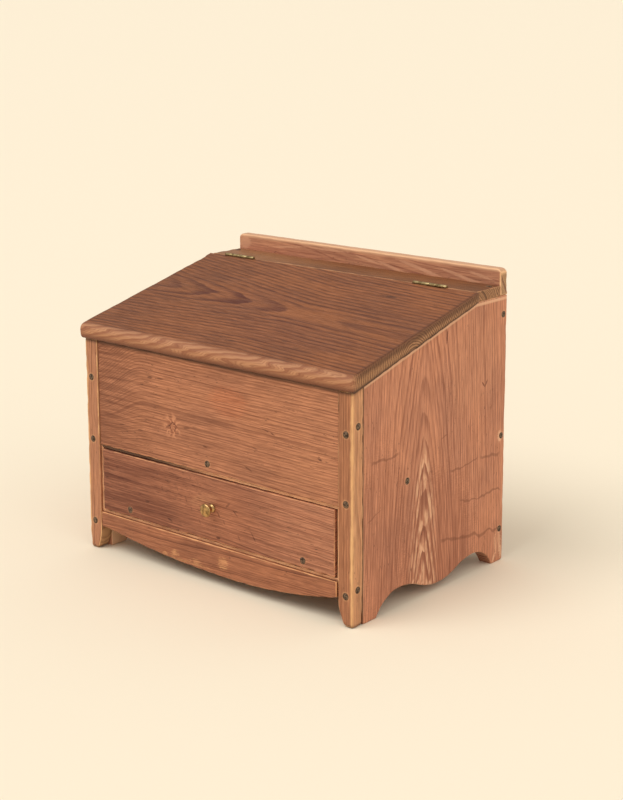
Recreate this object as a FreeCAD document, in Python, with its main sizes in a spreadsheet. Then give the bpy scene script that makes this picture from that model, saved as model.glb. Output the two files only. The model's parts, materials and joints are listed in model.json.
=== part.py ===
import FreeCAD, Part
import os
import Sketcher

# A small slope-lidded box on scalloped feet, with a book well under the lid and one drawer below.
# Millimetres, +Z up, the front faces -Y. The origin is on the floor, under the middle of the
# space that the whole box takes up, from the face of the knob to the heads of the rear nails.

doc = FreeCAD.newDocument("bible_box")
sheet = doc.addObject("Spreadsheet::Sheet", "sizes")
rows = []
nodes = []
holes = {}
fasteners = {}


class Size:
    """A length that carries its value and the expression over the sheet that gives it."""

    def __init__(self, value, text):
        self.value = value
        self.text = text

    def __add__(self, other):
        other = as_size(other)
        return Size(self.value + other.value, f"({self.text} + {other.text})")

    def __sub__(self, other):
        other = as_size(other)
        return Size(self.value - other.value, f"({self.text} - {other.text})")

    def __mul__(self, other):
        other = as_size(other)
        return Size(self.value * other.value, f"({self.text} * {other.text})")

    def __truediv__(self, other):
        other = as_size(other)
        return Size(self.value / other.value, f"({self.text} / {other.text})")

    def __neg__(self):
        return Size(-self.value, f"(0 - {self.text})")

    def __rsub__(self, other):
        return as_size(other) - self

    __radd__ = __add__
    __rmul__ = __mul__


def as_size(number):
    """A plain number as a Size; a Size as it is."""
    if isinstance(number, Size):
        return number
    return Size(float(number), f"({number})")


def cell(alias, value):
    """Write one driving size into the next row of the sheet and return it as a Size."""
    rows.append(alias)
    place = f"A{len(rows)}"
    sheet.set(place, str(value))
    sheet.setAlias(place, alias)
    return Size(float(value), f"sizes.{alias}")


# Driving sizes of the case
case_width = cell("case_width", 440)  # over both side boards
case_depth = cell("case_depth", 305)  # front of the posts to back of the back board
front_height = cell("front_height", 280)  # top of the sides at the very front
rear_height = cell("rear_height", 346)  # flat top of the sides at the rear
flat_run = cell("flat_run", 67)  # level top of the sides, from the end of the slope to the back
side_thick = cell("side_thick", 19)
post_width = cell("post_width", 21)
post_depth = cell("post_depth", 20)
post_taper = cell("post_taper", 8.5)  # how far the inner side of a foot is cut away at the floor
post_taper_height = cell("post_taper_height", 33)
post_toe_round = cell("post_toe_round", 3)

# Driving sizes of the sawn feet of the side boards
foot_front = cell("foot_front", 44.5)  # front of the posts to the rear of the front foot
foot_rear = cell("foot_rear", 24)  # length of the rear foot
arch_front = cell("arch_front", 90)  # front of the posts to the top of the front arch
arch_rear = cell("arch_rear", 64)  # back of the case to the top of the rear arch
arch_height = cell("arch_height", 25)
lobe_height = cell("lobe_height", 9)  # underside of the lobe between the arches
heel_round = cell("heel_round", 4)

# Driving sizes of the front, the floor of the well and the back
panel_bottom = cell("panel_bottom", 142)
panel_setback = cell("panel_setback", 1.5)
panel_chamfer = cell("panel_chamfer", 1.5)
apron_top = cell("apron_top", 52)
apron_thick = cell("apron_thick", 17)
apron_setback = cell("apron_setback", 0.5)
apron_end_height = cell("apron_end_height", 32.5)
apron_low_height = cell("apron_low_height", 14)
apron_low_offset = cell("apron_low_offset", 30)  # the lowest point of the bow, right of the middle
apron_shoulder = cell("apron_shoulder", 10)  # short level stretch at the left end of the bow
apron_gap_left = cell("apron_gap_left", 0.3)
apron_gap_right = cell("apron_gap_right", 2.5)
bead_width = cell("bead_width", 3.5)
bead_depth = cell("bead_depth", 12)
bead_setback = cell("bead_setback", 3.5)
floor_bottom = cell("floor_bottom", 146.5)
floor_thick = cell("floor_thick", 13)
back_thick = cell("back_thick", 15)
back_bottom = cell("back_bottom", 33)
top_thick = cell("top_thick", 13)
rail_thick = cell("rail_thick", 15)
rail_height = cell("rail_height", 34)
rail_corner = cell("rail_corner", 7)
rail_round = cell("rail_round", 3)

# Driving sizes of the lid
lid_side_overhang = cell("lid_side_overhang", 5)
lid_front_overhang = cell("lid_front_overhang", 4)
lid_nose_lean = cell("lid_nose_lean", 5.3)  # how far the top of the front edge leans forward
lid_nose_rise = cell("lid_nose_rise", 19.3)  # height of the front edge
lid_round = cell("lid_round", 4.5)
lid_seat_gap = cell("lid_seat_gap", 0.3)  # between the closed lid and the top of the case
lid_rear_gap = cell("lid_rear_gap", 0.8)  # between the lid and the top board

# Driving sizes of the hinges
hinge_length = cell("hinge_length", 52)
hinge_inset_left = cell("hinge_inset_left", 50)  # left side of the case to the middle of the hinge
hinge_inset_right = cell("hinge_inset_right", 70)
leaf_thick = cell("leaf_thick", 1.2)
leaf_height = cell("leaf_height", 10.5)  # from the pin down
leaf_gap = cell("leaf_gap", 0.3)
knuckle_radius = cell("knuckle_radius", 2.2)
knuckle_gap = cell("knuckle_gap", 0.3)
knuckle_room = cell("knuckle_room", 0.4)  # between a knuckle and the wood
pin_radius = cell("pin_radius", 0.9)
pin_play = cell("pin_play", 0.05)
pin_rise = cell("pin_rise", 0.6)  # centre of the pin above the top board
screw_head_radius = cell("screw_head_radius", 2.3)
screw_head_depth = cell("screw_head_depth", 1.1)
screw_shank_radius = cell("screw_shank_radius", 1.2)
screw_length = cell("screw_length", 13)
screw_spread = cell("screw_spread", 18)  # from the middle screw of a leaf to the outer ones
screw_drop = cell("screw_drop", 6.4)  # from the pin down to the screws

# Driving sizes of the drawer
drawer_gap_left = cell("drawer_gap_left", 0.8)
drawer_gap_right = cell("drawer_gap_right", 2.2)
drawer_gap_below = cell("drawer_gap_below", 0.6)
drawer_gap_above = cell("drawer_gap_above", 0.9)
drawer_gap_behind = cell("drawer_gap_behind", 1)
drawer_setback = cell("drawer_setback", 1)
drawer_front_thick = cell("drawer_front_thick", 17)
drawer_rabbet = cell("drawer_rabbet", 10)  # depth of the rabbets that take the drawer sides
drawer_side_thick = cell("drawer_side_thick", 10)
drawer_side_inset = cell("drawer_side_inset", 0.5)
drawer_side_drop = cell("drawer_side_drop", 2.3)  # top of the sides below the top of the front
drawer_bottom_thick = cell("drawer_bottom_thick", 9)
drawer_bottom_rise = cell("drawer_bottom_rise", 5)
drawer_back_thick = cell("drawer_back_thick", 10)
drawer_back_drop = cell("drawer_back_drop", 3)
runner_gap = cell("runner_gap", 0.3)
runner_ledge = cell("runner_ledge", 16)
runner_ledge_thick = cell("runner_ledge_thick", 10)
runner_guide = cell("runner_guide", 5.2)
runner_guide_height = cell("runner_guide_height", 19)

# Driving sizes of the knob
knob_height = cell("knob_height", 99)  # floor to the middle of the knob
knob_reach = cell("knob_reach", 14)  # face of the knob in front of the posts
knob_head_radius = cell("knob_head_radius", 8.5)
knob_head_thick = cell("knob_head_thick", 4.2)
knob_face_radius = cell("knob_face_radius", 6.8)  # of the crowned face, inside its bevelled rim
knob_crown = cell("knob_crown", 0.9)
knob_neck_radius = cell("knob_neck_radius", 3)
knob_flare = cell("knob_flare", 1.2)  # the neck widens by this under the head and over the collar
knob_collar_radius = cell("knob_collar_radius", 5.2)
knob_collar_thick = cell("knob_collar_thick", 1.5)
knob_shank_radius = cell("knob_shank_radius", 2)
knob_shank_tail = cell("knob_shank_tail", 2)  # shank past the nut
nut_size = cell("nut_size", 9)
nut_thick = cell("nut_thick", 3)

# Driving sizes of the nails
nail_head_radius = cell("nail_head_radius", 3.9)
nail_crown_radius = cell("nail_crown_radius", 2.2)
nail_seat = cell("nail_seat", 0.8)
nail_proud = cell("nail_proud", 0.5)
nail_shank_radius = cell("nail_shank_radius", 1.5)
nail_length = cell("nail_length", 40)
brad_head_radius = cell("brad_head_radius", 2.2)
brad_crown_radius = cell("brad_crown_radius", 1.4)
brad_proud = cell("brad_proud", 0.2)
brad_shank_radius = cell("brad_shank_radius", 0.9)
brad_length = cell("brad_length", 25)
point_radius = cell("point_radius", 0.5)
hole_room = cell("hole_room", 0.05)
cut_spare = cell("cut_spare", 1)  # how far a cutting outline runs past the wood
post_nail_low = cell("post_nail_low", 38)
post_nail_mid = cell("post_nail_mid", 148)
post_nail_drop = cell("post_nail_drop", 50)  # from the top of the post down
end_nail_low = cell("end_nail_low", 45)
end_nail_drop = cell("end_nail_drop", 41)
back_nail_low = cell("back_nail_low", 43)
back_nail_mid = cell("back_nail_mid", 166)
back_nail_drop = cell("back_nail_drop", 24)  # from the level top of the sides down
floor_nail_back = cell("floor_nail_back", 103)
panel_nail_offset = cell("panel_nail_offset", 8)
top_nail_back = cell("top_nail_back", 27)  # nail of the top board, in front of the back of the case
rail_nail_spread = cell("rail_nail_spread", 150)
drawer_nail_spread = cell("drawer_nail_spread", 145)
runner_nail_inset = cell("runner_nail_inset", 45)
doc.recompute()

# Planes that several pieces share
half = case_width / 2
side_inner = half - side_thick
post_inner = half - post_width
front = (knob_reach - case_depth - nail_proud) / 2
back = front + case_depth
back_inner = back - back_thick
slope_end = back - flat_run
slope_run = slope_end - front
slope_rise = (rear_height - front_height) / slope_run
panel_front = front + panel_setback
post_rear = front + post_depth
panel_rear = post_rear
apron_front = front + apron_setback
apron_rear = apron_front + apron_thick
floor_top = floor_bottom + floor_thick
top_surface = rear_height + top_thick
rail_top = rear_height + rail_height
rail_front = back - rail_thick
pin_y = slope_end
pin_z = top_surface + pin_rise
top_front = pin_y + lid_rear_gap / 2
lid_rear = pin_y - lid_rear_gap / 2
bead_inner = post_inner - bead_width
opening_bottom = apron_top + bead_width
opening_top = panel_bottom - bead_width
drawer_face = front + drawer_setback
drawer_low = opening_bottom + drawer_gap_below
drawer_top = opening_top - drawer_gap_above
drawer_left = drawer_gap_left - bead_inner
drawer_right = bead_inner - drawer_gap_right
drawer_end = back_inner - drawer_gap_behind
drawer_front_rear = drawer_face + drawer_front_thick


def slope_at(y):
    """Height of the sloping top edge of the case at a distance y."""
    return front_height + (y - front) * slope_rise


def tie(obj, name, size):
    """Bind one property of an object to the sheet."""
    obj.setExpression(name, as_size(size).text)


def put(obj, x, y, z, rotation=FreeCAD.Rotation()):
    """Turn an object and bind its place to the sheet."""
    obj.Placement = FreeCAD.Placement(FreeCAD.Vector(), rotation)
    tie(obj, "Placement.Base.x", x)
    tie(obj, "Placement.Base.y", y)
    tie(obj, "Placement.Base.z", z)
    return obj


def block(name, x, y, z):
    """A rectangular piece; x, y and z are its (low, high) pairs."""
    box = doc.addObject("Part::Box", name)
    for side, (low, high) in zip(("Length", "Width", "Height"), (x, y, z)):
        tie(box, side, as_size(high) - low)
    return put(box, x[0], y[0], z[0])


def rod(name, radius, length):
    """A round rod that stands on its own origin."""
    cylinder = doc.addObject("Part::Cylinder", name)
    tie(cylinder, "Radius", radius)
    tie(cylinder, "Height", length)
    return cylinder


def taper(name, low_radius, high_radius, length):
    """A round taper that stands on its own origin."""
    cone = doc.addObject("Part::Cone", name)
    tie(cone, "Radius1", low_radius)
    tie(cone, "Radius2", high_radius)
    tie(cone, "Height", length)
    return cone


def joined(name, pieces):
    """Pieces that touch, made one solid."""
    fuse = doc.addObject("Part::MultiFuse", name)
    fuse.Shapes = pieces
    return fuse


def group(name, pieces):
    """Separate solids kept together."""
    compound = doc.addObject("Part::Compound", name)
    compound.Links = pieces
    return compound


def less(name, base, tools):
    """A piece with other shapes taken out of it."""
    cut = doc.addObject("Part::Cut", name)
    cut.Base = base
    cut.Tool = group(f"{name}_tools", tools)
    return cut


def finish(name, blank, tools=()):
    """Take the holes of its nails and screws, and any other tools, out of a blank and keep it."""
    nodes.append(less(name, blank, holes.get(name, []) + list(tools)))


def across(sign, inner, outer):
    """The (low, high) pair from inner to outer on the right (sign 1) or the left (sign -1)."""
    if sign > 0:
        return as_size(inner), as_size(outer)
    return -as_size(outer), -as_size(inner)


def arc_centre(corner, other, way):
    """Centre of an arc through two corners, plumb or level with the first of them."""
    (x, z), (other_x, other_z) = corner, other
    square = (other_x - x) ** 2 + (other_z - z) ** 2
    if way == "plumb":
        return FreeCAD.Vector(x, z + square / (2 * (other_z - z)), 0)
    return FreeCAD.Vector(x + square / (2 * (other_x - x)), z, 0)


def outline(body, name, plane, corners, arcs=()):
    """A closed sketch on an origin plane of the body, with every corner tied to the sheet.

    A side runs from each corner to the next. arcs names the sides that are arcs: the number of
    the side, the corner that its centre is in line with, and whether plumb or level with it.
    """
    arcs = {side: (corner, way) for side, corner, way in arcs}
    sketch = body.newObject("Sketcher::SketchObject", name)
    planes = {item.Role: item for item in body.Origin.OriginFeatures}
    sketch.AttachmentSupport = (planes[plane], [""])
    sketch.MapMode = "FlatFace"
    corners = [(as_size(across), as_size(up)) for across, up in corners]
    spots = [(across.value, up.value) for across, up in corners]
    first, last = [], []
    for side, start in enumerate(spots):
        end = spots[(side + 1) % len(spots)]
        from_point = FreeCAD.Vector(*start, 0)
        to_point = FreeCAD.Vector(*end, 0)
        if side in arcs:
            corner, way = arcs[side]
            other = end if corner == side else start
            centre = arc_centre(spots[corner], other, way)
            anticlockwise = (from_point - centre).cross(to_point - centre).z > 0
            ends = (from_point, to_point) if anticlockwise else (to_point, from_point)
            circle = Part.Circle(centre, FreeCAD.Vector(0, 0, 1), centre.distanceToPoint(from_point))
            span = [circle.parameter(point) for point in ends]
            geometry = sketch.addGeometry(Part.ArcOfCircle(circle, *span), False)
            first.append((geometry, 1 if anticlockwise else 2))
            last.append((geometry, 2 if anticlockwise else 1))
        else:
            geometry = sketch.addGeometry(Part.LineSegment(from_point, to_point), False)
            first.append((geometry, 1))
            last.append((geometry, 2))
    for side, (across, up) in enumerate(corners):
        sketch.addConstraint(Sketcher.Constraint("Coincident", *last[side - 1], *first[side]))
        for kind, size in (("DistanceX", across), ("DistanceY", up)):
            number = sketch.addConstraint(Sketcher.Constraint(kind, -1, 1, *first[side], size.value))
            sketch.setExpression(f"Constraints[{number}]", size.text)
    for side, (corner, way) in arcs.items():
        line_up = {"plumb": "Vertical", "level": "Horizontal"}[way]
        sketch.addConstraint(Sketcher.Constraint(line_up, first[side][0], 3, *first[corner]))
    return sketch


def body_at(name, x=0, y=0, z=0):
    """An empty body, placed from the sheet."""
    return put(doc.addObject("PartDesign::Body", name), x, y, z)


def pad(body, sketch, length, backwards=False):
    """Give a sketch its thickness, away from the front for one drawn as seen from the front."""
    feature = body.newObject("PartDesign::Pad", f"{sketch.Name}_pad")
    feature.Profile = sketch
    feature.Reversed = backwards
    tie(feature, "Length", length)
    return feature


def pocket(body, sketch):
    """Cut a sketch right through the body, to both sides of its plane."""
    feature = body.newObject("PartDesign::Pocket", f"{sketch.Name}_pocket")
    feature.Profile = sketch
    feature.Type = "ThroughAll"
    feature.Midplane = True
    return feature


NEAR = 1  # an edge that runs less than this one way counts as square to it


def rounded(body, feature, radius, wanted):
    """Round the edges of a feature that the test wanted(edge) picks."""
    doc.recompute()
    edges = enumerate(feature.Shape.Edges, start=1)
    names = [f"Edge{number}" for number, edge in edges if wanted(edge)]
    fillet = body.newObject("PartDesign::Fillet", f"{feature.Name}_round")
    fillet.Base = (feature, names)
    tie(fillet, "Radius", radius)
    return fillet


def side_view(name, x, corners, arcs=()):
    """A body drawn as seen from the right and given its width from x[0] to x[1]."""
    body = body_at(name, x=x[0])
    sketch = outline(body, f"{name}_outline", "YZ_Plane", corners, arcs)
    return body, pad(body, sketch, as_size(x[1]) - x[0])


def front_view(name, y, corners, arcs=()):
    """A body drawn as seen from the front and given its thickness from y[0] to y[1]."""
    body = body_at(name, y=y[0])
    sketch = outline(body, f"{name}_outline", "XZ_Plane", corners, arcs)
    return body, pad(body, sketch, as_size(y[1]) - y[0], backwards=True)


# Nails and screws. Each is drawn with the face of the wood at z = 0 and its point downwards.
X_AXIS = FreeCAD.Vector(1, 0, 0)
Y_AXIS = FreeCAD.Vector(0, 1, 0)
INTO = {
    "+X": FreeCAD.Rotation(Y_AXIS, -90),
    "-X": FreeCAD.Rotation(Y_AXIS, 90),
    "+Y": FreeCAD.Rotation(X_AXIS, 90),
    "-Y": FreeCAD.Rotation(X_AXIS, -90),
    "-Z": FreeCAD.Rotation(),
}
SIDES = (("left", -1, "+X"), ("right", 1, "-X"))


def nail_kind(name, head, crown, proud, shank, length):
    """The pieces of one kind of nail, and the pieces of the hole that it needs."""
    seat = put(rod(f"{name}_head", head, nail_seat), 0, 0, -nail_seat)
    top = taper(f"{name}_crown", head, crown, proud)
    stem = put(taper(f"{name}_stem", point_radius, shank, length - nail_seat), 0, 0, -length)
    wide = put(rod(f"{name}_seat_room", head + hole_room, nail_seat + proud), 0, 0, -nail_seat)
    deep = put(rod(f"{name}_stem_room", shank + hole_room, length + hole_room), 0, 0, -length - hole_room)
    return [seat, top, stem], [wide, deep]


def screw_kind():
    """The pieces of a countersunk screw, and the pieces of its hole."""
    stem_length = screw_length - screw_head_depth
    head = put(taper("screw_head", screw_shank_radius, screw_head_radius, screw_head_depth),
               0, 0, -screw_head_depth)
    stem = put(taper("screw_stem", point_radius, screw_shank_radius, stem_length), 0, 0, -screw_length)
    wide = put(taper("screw_head_room", screw_shank_radius + hole_room, screw_head_radius + hole_room,
                     screw_head_depth), 0, 0, -screw_head_depth)
    deep = put(rod("screw_stem_room", screw_shank_radius + hole_room, screw_length + hole_room),
               0, 0, -screw_length - hole_room)
    return [head, stem], [wide, deep]


NAIL = nail_kind("nail", nail_head_radius, nail_crown_radius, nail_proud, nail_shank_radius, nail_length)
BRAD = nail_kind("brad", brad_head_radius, brad_crown_radius, brad_proud, brad_shank_radius, brad_length)
SCREW = screw_kind()


def drive(name, kind, way, boards, spots):
    """Drive a nail or screw at each spot, and note its hole for each board that it goes through."""
    solid, room = kind
    driven = fasteners.setdefault(name, [])
    for spot in spots:
        label = f"{name}_{len(driven) + 1}"
        driven.append(put(joined(label, solid), *spot, INTO[way]))
        hole = put(joined(f"{label}_hole", room), *spot, INTO[way])
        for board in boards:
            holes.setdefault(board, []).append(hole)


def drive_case_nails():
    """Nails that hold the posts, panel, apron, back, floor, top board and runners to the sides."""
    end_y = (panel_front + panel_rear) / 2
    back_y = (back_inner + back) / 2
    end_high = front_height - end_nail_drop
    floor_z = floor_bottom + floor_thick / 2
    runner_z = drawer_low - runner_gap - runner_ledge_thick / 2
    for side, sign, way in SIDES:
        face = half * sign
        edge = (half - side_thick / 2) * sign
        ledge = (side_inner - runner_ledge) * sign
        outward = {"+X": "-X", "-X": "+X"}[way]
        post, board = f"post_{side}", f"side_board_{side}"
        for up in (post_nail_low, post_nail_mid, front_height - post_nail_drop):
            drive("post_front_nails", NAIL, "+Y", (post, board), [(edge, front, up)])
        drive("post_side_nails", NAIL, way, (post, "apron"), [(face, end_y, end_nail_low)])
        drive("post_side_nails", NAIL, way, (post, "front_panel"), [(face, end_y, end_high)])
        for up in (back_nail_low, back_nail_mid, rear_height - back_nail_drop):
            drive("back_board_nails", NAIL, way, (board, "back_board"), [(face, back_y, up)])
        floor_spot = (face, front + floor_nail_back, floor_z)
        drive("floor_nails", NAIL, way, (board, "well_floor"), [floor_spot])
        top_spot = (edge, back - top_nail_back, top_surface)
        drive("top_board_nails", NAIL, "-Z", (board, "top_board"), [top_spot])
        for y in (apron_rear + runner_nail_inset, back_inner - runner_nail_inset):
            drive("runner_nails", BRAD, outward, (f"drawer_runner_{side}", board), [(ledge, y, runner_z)])
    panel_spot = (-panel_nail_offset, panel_front, floor_z)
    drive("floor_nails", NAIL, "+Y", ("front_panel", "well_floor"), [panel_spot])
    rail_z = rear_height + top_thick / 2
    for x in (-rail_nail_spread, 0, rail_nail_spread):
        drive("rail_nails", NAIL, "-Y", ("back_rail", "top_board"), [(x, back, rail_z)])


def drive_drawer_nails():
    """Nails that hold the drawer together."""
    bottom_z = drawer_low + drawer_bottom_rise + drawer_bottom_thick / 2
    spots = [(x, drawer_face, bottom_z) for x in (-drawer_nail_spread, drawer_nail_spread)]
    drive("drawer_front_nails", NAIL, "+Y", ("drawer_front", "drawer_bottom"), spots)
    rabbet_y = drawer_front_rear - drawer_rabbet / 2
    rear_y = drawer_end - drawer_back_thick / 2
    third = (drawer_end - drawer_front_rear) / 3
    upper_z = drawer_top - (drawer_top - bottom_z) / 4
    for side, _, way in SIDES:
        face = drawer_left + drawer_side_inset if side == "left" else drawer_right - drawer_side_inset
        board = f"drawer_side_{side}"
        for up in (bottom_z, upper_z):
            drive("drawer_side_nails", BRAD, way, (board, "drawer_front"), [(face, rabbet_y, up)])
        drive("drawer_side_nails", BRAD, way, (board, "drawer_back"), [(face, rear_y, upper_z)])
        for y in (drawer_front_rear + third, drawer_front_rear + third * 2):
            drive("drawer_side_nails", BRAD, way, (board, "drawer_bottom"), [(face, y, bottom_z)])


def side_board(side, sign):
    """A side of the case, with a sloping top edge and two feet sawn out with arches and a lobe."""
    arch_1 = front + arch_front
    arch_2 = back - arch_rear
    lobe = (arch_1 + arch_2) / 2
    half_height = (arch_height + lobe_height) / 2
    corners = [
        (post_rear, 0),
        (front + foot_front, 0),
        (arch_1, arch_height),
        ((arch_1 + lobe) / 2, half_height),
        (lobe, lobe_height),
        ((lobe + arch_2) / 2, half_height),
        (arch_2, arch_height),
        (back - foot_rear, 0),
        (back - heel_round, 0),
        (back, heel_round),
        (back, rear_height),
        (slope_end, rear_height),
        (post_rear, slope_at(post_rear)),
    ]
    top_of = {1: 2, 2: 2, 3: 4, 4: 4, 5: 6, 6: 6, 8: 8}
    arcs = [(number, corner, "plumb") for number, corner in top_of.items()]
    name = f"side_board_{side}"
    board, _ = side_view(f"{name}_blank", across(sign, side_inner, half), corners, arcs)
    finish(name, board)


def post(side, sign):
    """A square post on the front edge of a side, its foot tapered on the inner side."""
    corners = [
        (front, post_toe_round),
        (front + post_toe_round, 0),
        (post_rear, 0),
        (post_rear, slope_at(post_rear)),
        (front, front_height),
    ]
    name = f"post_{side}"
    ends = across(sign, post_inner, half)
    body, _ = side_view(f"{name}_blank", ends, corners, [(0, 1, "plumb")])
    inner = as_size(0) if sign > 0 else post_width
    beyond = inner - cut_spare * sign
    foot = [
        (beyond, post_taper_height),
        (inner, post_taper_height),
        (inner + post_taper * sign, 0),
        (inner + post_taper * sign, -cut_spare),
        (beyond, -cut_spare),
    ]
    pocket(body, outline(body, f"{name}_taper", "XZ_Plane", foot, [(1, 1, "level")]))
    finish(name, body)


def front_panel():
    """The fixed board that closes the front of the well, its top edge bevelled with the slope."""
    corners = [
        (panel_front, panel_bottom + panel_chamfer),
        (panel_front + panel_chamfer, panel_bottom),
        (panel_rear, panel_bottom),
        (panel_rear, slope_at(panel_rear)),
        (panel_front, slope_at(panel_front)),
    ]
    body, _ = side_view("front_panel_blank", (-post_inner, post_inner), corners)
    finish("front_panel", body)


def apron():
    """The bowed board under the drawer, between the posts."""
    left = apron_gap_left - post_inner
    right = post_inner - apron_gap_right
    corners = [
        (left, apron_end_height),
        (left + apron_shoulder, apron_end_height),
        (apron_low_offset, apron_low_height),
        (right, apron_end_height),
        (right, apron_top),
        (left, apron_top),
    ]
    body, _ = front_view("apron_blank", (apron_front, apron_rear), corners,
                         [(1, 2, "plumb"), (2, 2, "plumb")])
    finish("apron", body)


def beads():
    """Four thin strips with mitred corners that line the drawer opening."""
    outer = [(-post_inner, apron_top), (post_inner, apron_top),
             (post_inner, panel_bottom), (-post_inner, panel_bottom)]
    inner = [(-bead_inner, opening_bottom), (bead_inner, opening_bottom),
             (bead_inner, opening_top), (-bead_inner, opening_top)]
    bead_front = front + bead_setback
    for number, name in enumerate(("bottom", "right", "top", "left")):
        after = (number + 1) % 4
        corners = [outer[number], outer[after], inner[after], inner[number]]
        depth = (bead_front, bead_front + bead_depth)
        body, _ = front_view(f"bead_{name}", depth, corners)
        nodes.append(body)


def drawer_runner(side, sign):
    """An L-shaped strip on the inside of a side: a ledge for the drawer and a guide beside it."""
    ledge_top = drawer_low - runner_gap
    ledge_bottom = ledge_top - runner_ledge_thick
    guide_top = ledge_top + runner_guide_height
    corners = [
        ((side_inner - runner_ledge) * sign, ledge_bottom),
        (side_inner * sign, ledge_bottom),
        (side_inner * sign, guide_top),
        ((side_inner - runner_guide) * sign, guide_top),
        ((side_inner - runner_guide) * sign, ledge_top),
        ((side_inner - runner_ledge) * sign, ledge_top),
    ]
    name = f"drawer_runner_{side}"
    body, _ = front_view(f"{name}_blank", (post_rear, back_inner), corners)
    finish(name, body)


def plain_boards():
    """The floor of the well, the back board and the narrow top board behind the lid."""
    inside = (-side_inner, side_inner)
    well_floor = block("well_floor_blank", inside, (panel_rear, back_inner), (floor_bottom, floor_top))
    finish("well_floor", well_floor)
    back_board = block("back_board_blank", inside, (back_inner, back), (back_bottom, rear_height))
    finish("back_board", back_board)
    top = block("top_board_blank", (-half, half), (top_front, rail_front), (rear_height, top_surface))
    finish("top_board", top, [hinge_mortise(side, "top_board") for side, _, _ in SIDES])


def back_rail():
    """The low rail along the back, with rounded upper corners and edges."""
    corners = [
        (-half, rear_height),
        (half, rear_height),
        (half, rail_top - rail_corner),
        (half - rail_corner, rail_top),
        (rail_corner - half, rail_top),
        (-half, rail_top - rail_corner),
    ]
    body, blank = front_view("back_rail_blank", (rail_front, back), corners,
                             [(2, 3, "plumb"), (4, 4, "plumb")])

    def above_the_base(edge):
        """Every edge of the two faces, apart from those along the bottom and those that join them."""
        box = edge.BoundBox
        return box.ZMax > rear_height.value + NEAR and box.YLength < NEAR

    rounded(body, blank, rail_round, above_the_base)
    finish("back_rail", body)


def hinge_middle(side):
    """Where the middle of a hinge lies along the box."""
    return hinge_inset_left - half if side == "left" else half - hinge_inset_right


def hinge_mortise(side, board):
    """The recess for one leaf and its knuckles in the edge of the lid or of the top board."""
    sign = 1 if board == "top_board" else -1
    middle = hinge_middle(side)
    leaf_face = pin_y + (leaf_gap / 2 + leaf_thick) * sign
    knuckle_face = pin_y + (knuckle_radius + knuckle_room) * sign
    knuckle_low = pin_z - knuckle_radius - knuckle_room
    corners = [
        (pin_y, pin_z - leaf_height),
        (leaf_face, pin_z - leaf_height),
        (leaf_face, knuckle_low),
        (knuckle_face, knuckle_low),
        (knuckle_face, pin_z + knuckle_radius),
        (pin_y, pin_z + knuckle_radius),
    ]
    ends = (middle - hinge_length / 2 - hole_room, middle + hinge_length / 2 + hole_room)
    body, _ = side_view(f"{board}_mortise_{side}", ends, corners)
    return body


def hinge_leaf(side, name, sign, first):
    """One leaf of a hinge with its two knuckles; first is 0 or 1, the place of its first knuckle."""
    middle = hinge_middle(side)
    start = middle - hinge_length / 2
    pitch = hinge_length / 4
    inner = leaf_gap / 2
    ends = (inner, inner + leaf_thick) if sign > 0 else (-inner - leaf_thick, -inner)
    y = (pin_y + ends[0], pin_y + ends[1])
    plate_top = pin_z - knuckle_radius - knuckle_gap
    label = f"hinge_{side}_{name}"
    pieces = [block(f"{label}_plate", (start, start + hinge_length), y, (pin_z - leaf_height, plate_top))]
    for number in (first, first + 2):
        low = start + pitch * number + knuckle_gap / 2
        high = low + pitch - knuckle_gap
        knuckle = rod(f"{label}_knuckle_{number}", knuckle_radius, high - low)
        pieces.append(put(knuckle, low, pin_y, pin_z, FreeCAD.Rotation(Y_AXIS, 90)))
        pieces.append(block(f"{label}_neck_{number}", (low, high), y, (plate_top, pin_z)))
    bore = rod(f"{label}_bore", pin_radius + pin_play, hinge_length)
    put(bore, start, pin_y, pin_z, FreeCAD.Rotation(Y_AXIS, 90))
    finish(label, joined(f"{label}_blank", pieces), [bore])


def hinges():
    """Two butt hinges: a leaf on the top board, a leaf on the lid, and a pin through both."""
    screw_z = pin_z - screw_drop
    for side, _, _ in SIDES:
        middle = hinge_middle(side)
        for x in (middle - screw_spread, middle, middle + screw_spread):
            drive("hinge_case_screws", SCREW, "+Y", (f"hinge_{side}_case_leaf", "top_board"),
                  [(x, pin_y + leaf_gap / 2, screw_z)])
            drive("hinge_lid_screws", SCREW, "-Y", (f"hinge_{side}_lid_leaf", "lid_board"),
                  [(x, pin_y - leaf_gap / 2, screw_z)])
        hinge_leaf(side, "case_leaf", 1, 0)
        hinge_leaf(side, "lid_leaf", -1, 1)
        pin = rod(f"hinge_{side}_pin", pin_radius, hinge_length)
        nodes.append(put(pin, middle - hinge_length / 2, pin_y, pin_z, FreeCAD.Rotation(Y_AXIS, 90)))


def lid_board():
    """The sloping lid, thinner towards its hinges, with every upper edge and the nose rounded."""
    low_front = front - lid_front_overhang
    nose = low_front - lid_nose_lean
    low_z = slope_at(low_front) + lid_seat_gap
    corners = [
        (low_front, low_z),
        (lid_rear, slope_at(lid_rear) + lid_seat_gap),
        (lid_rear, top_surface),
        (nose, low_z + lid_nose_rise),
    ]
    ends = (-half - lid_side_overhang, half + lid_side_overhang)
    body, blank = side_view("lid_board_blank", ends, corners)

    def upper_or_nose(edge):
        """The edges of the nose and the upper edge at each end."""
        box = edge.BoundBox
        at_nose = box.YMax < front.value
        along_end = box.XLength < NEAR and box.YLength > slope_run.value / 2
        return at_nose or along_end and box.ZMax > rear_height.value + NEAR

    rounded(body, blank, lid_round, upper_or_nose)
    finish("lid_board", body, [hinge_mortise(side, "lid_board") for side, _, _ in SIDES])


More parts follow.
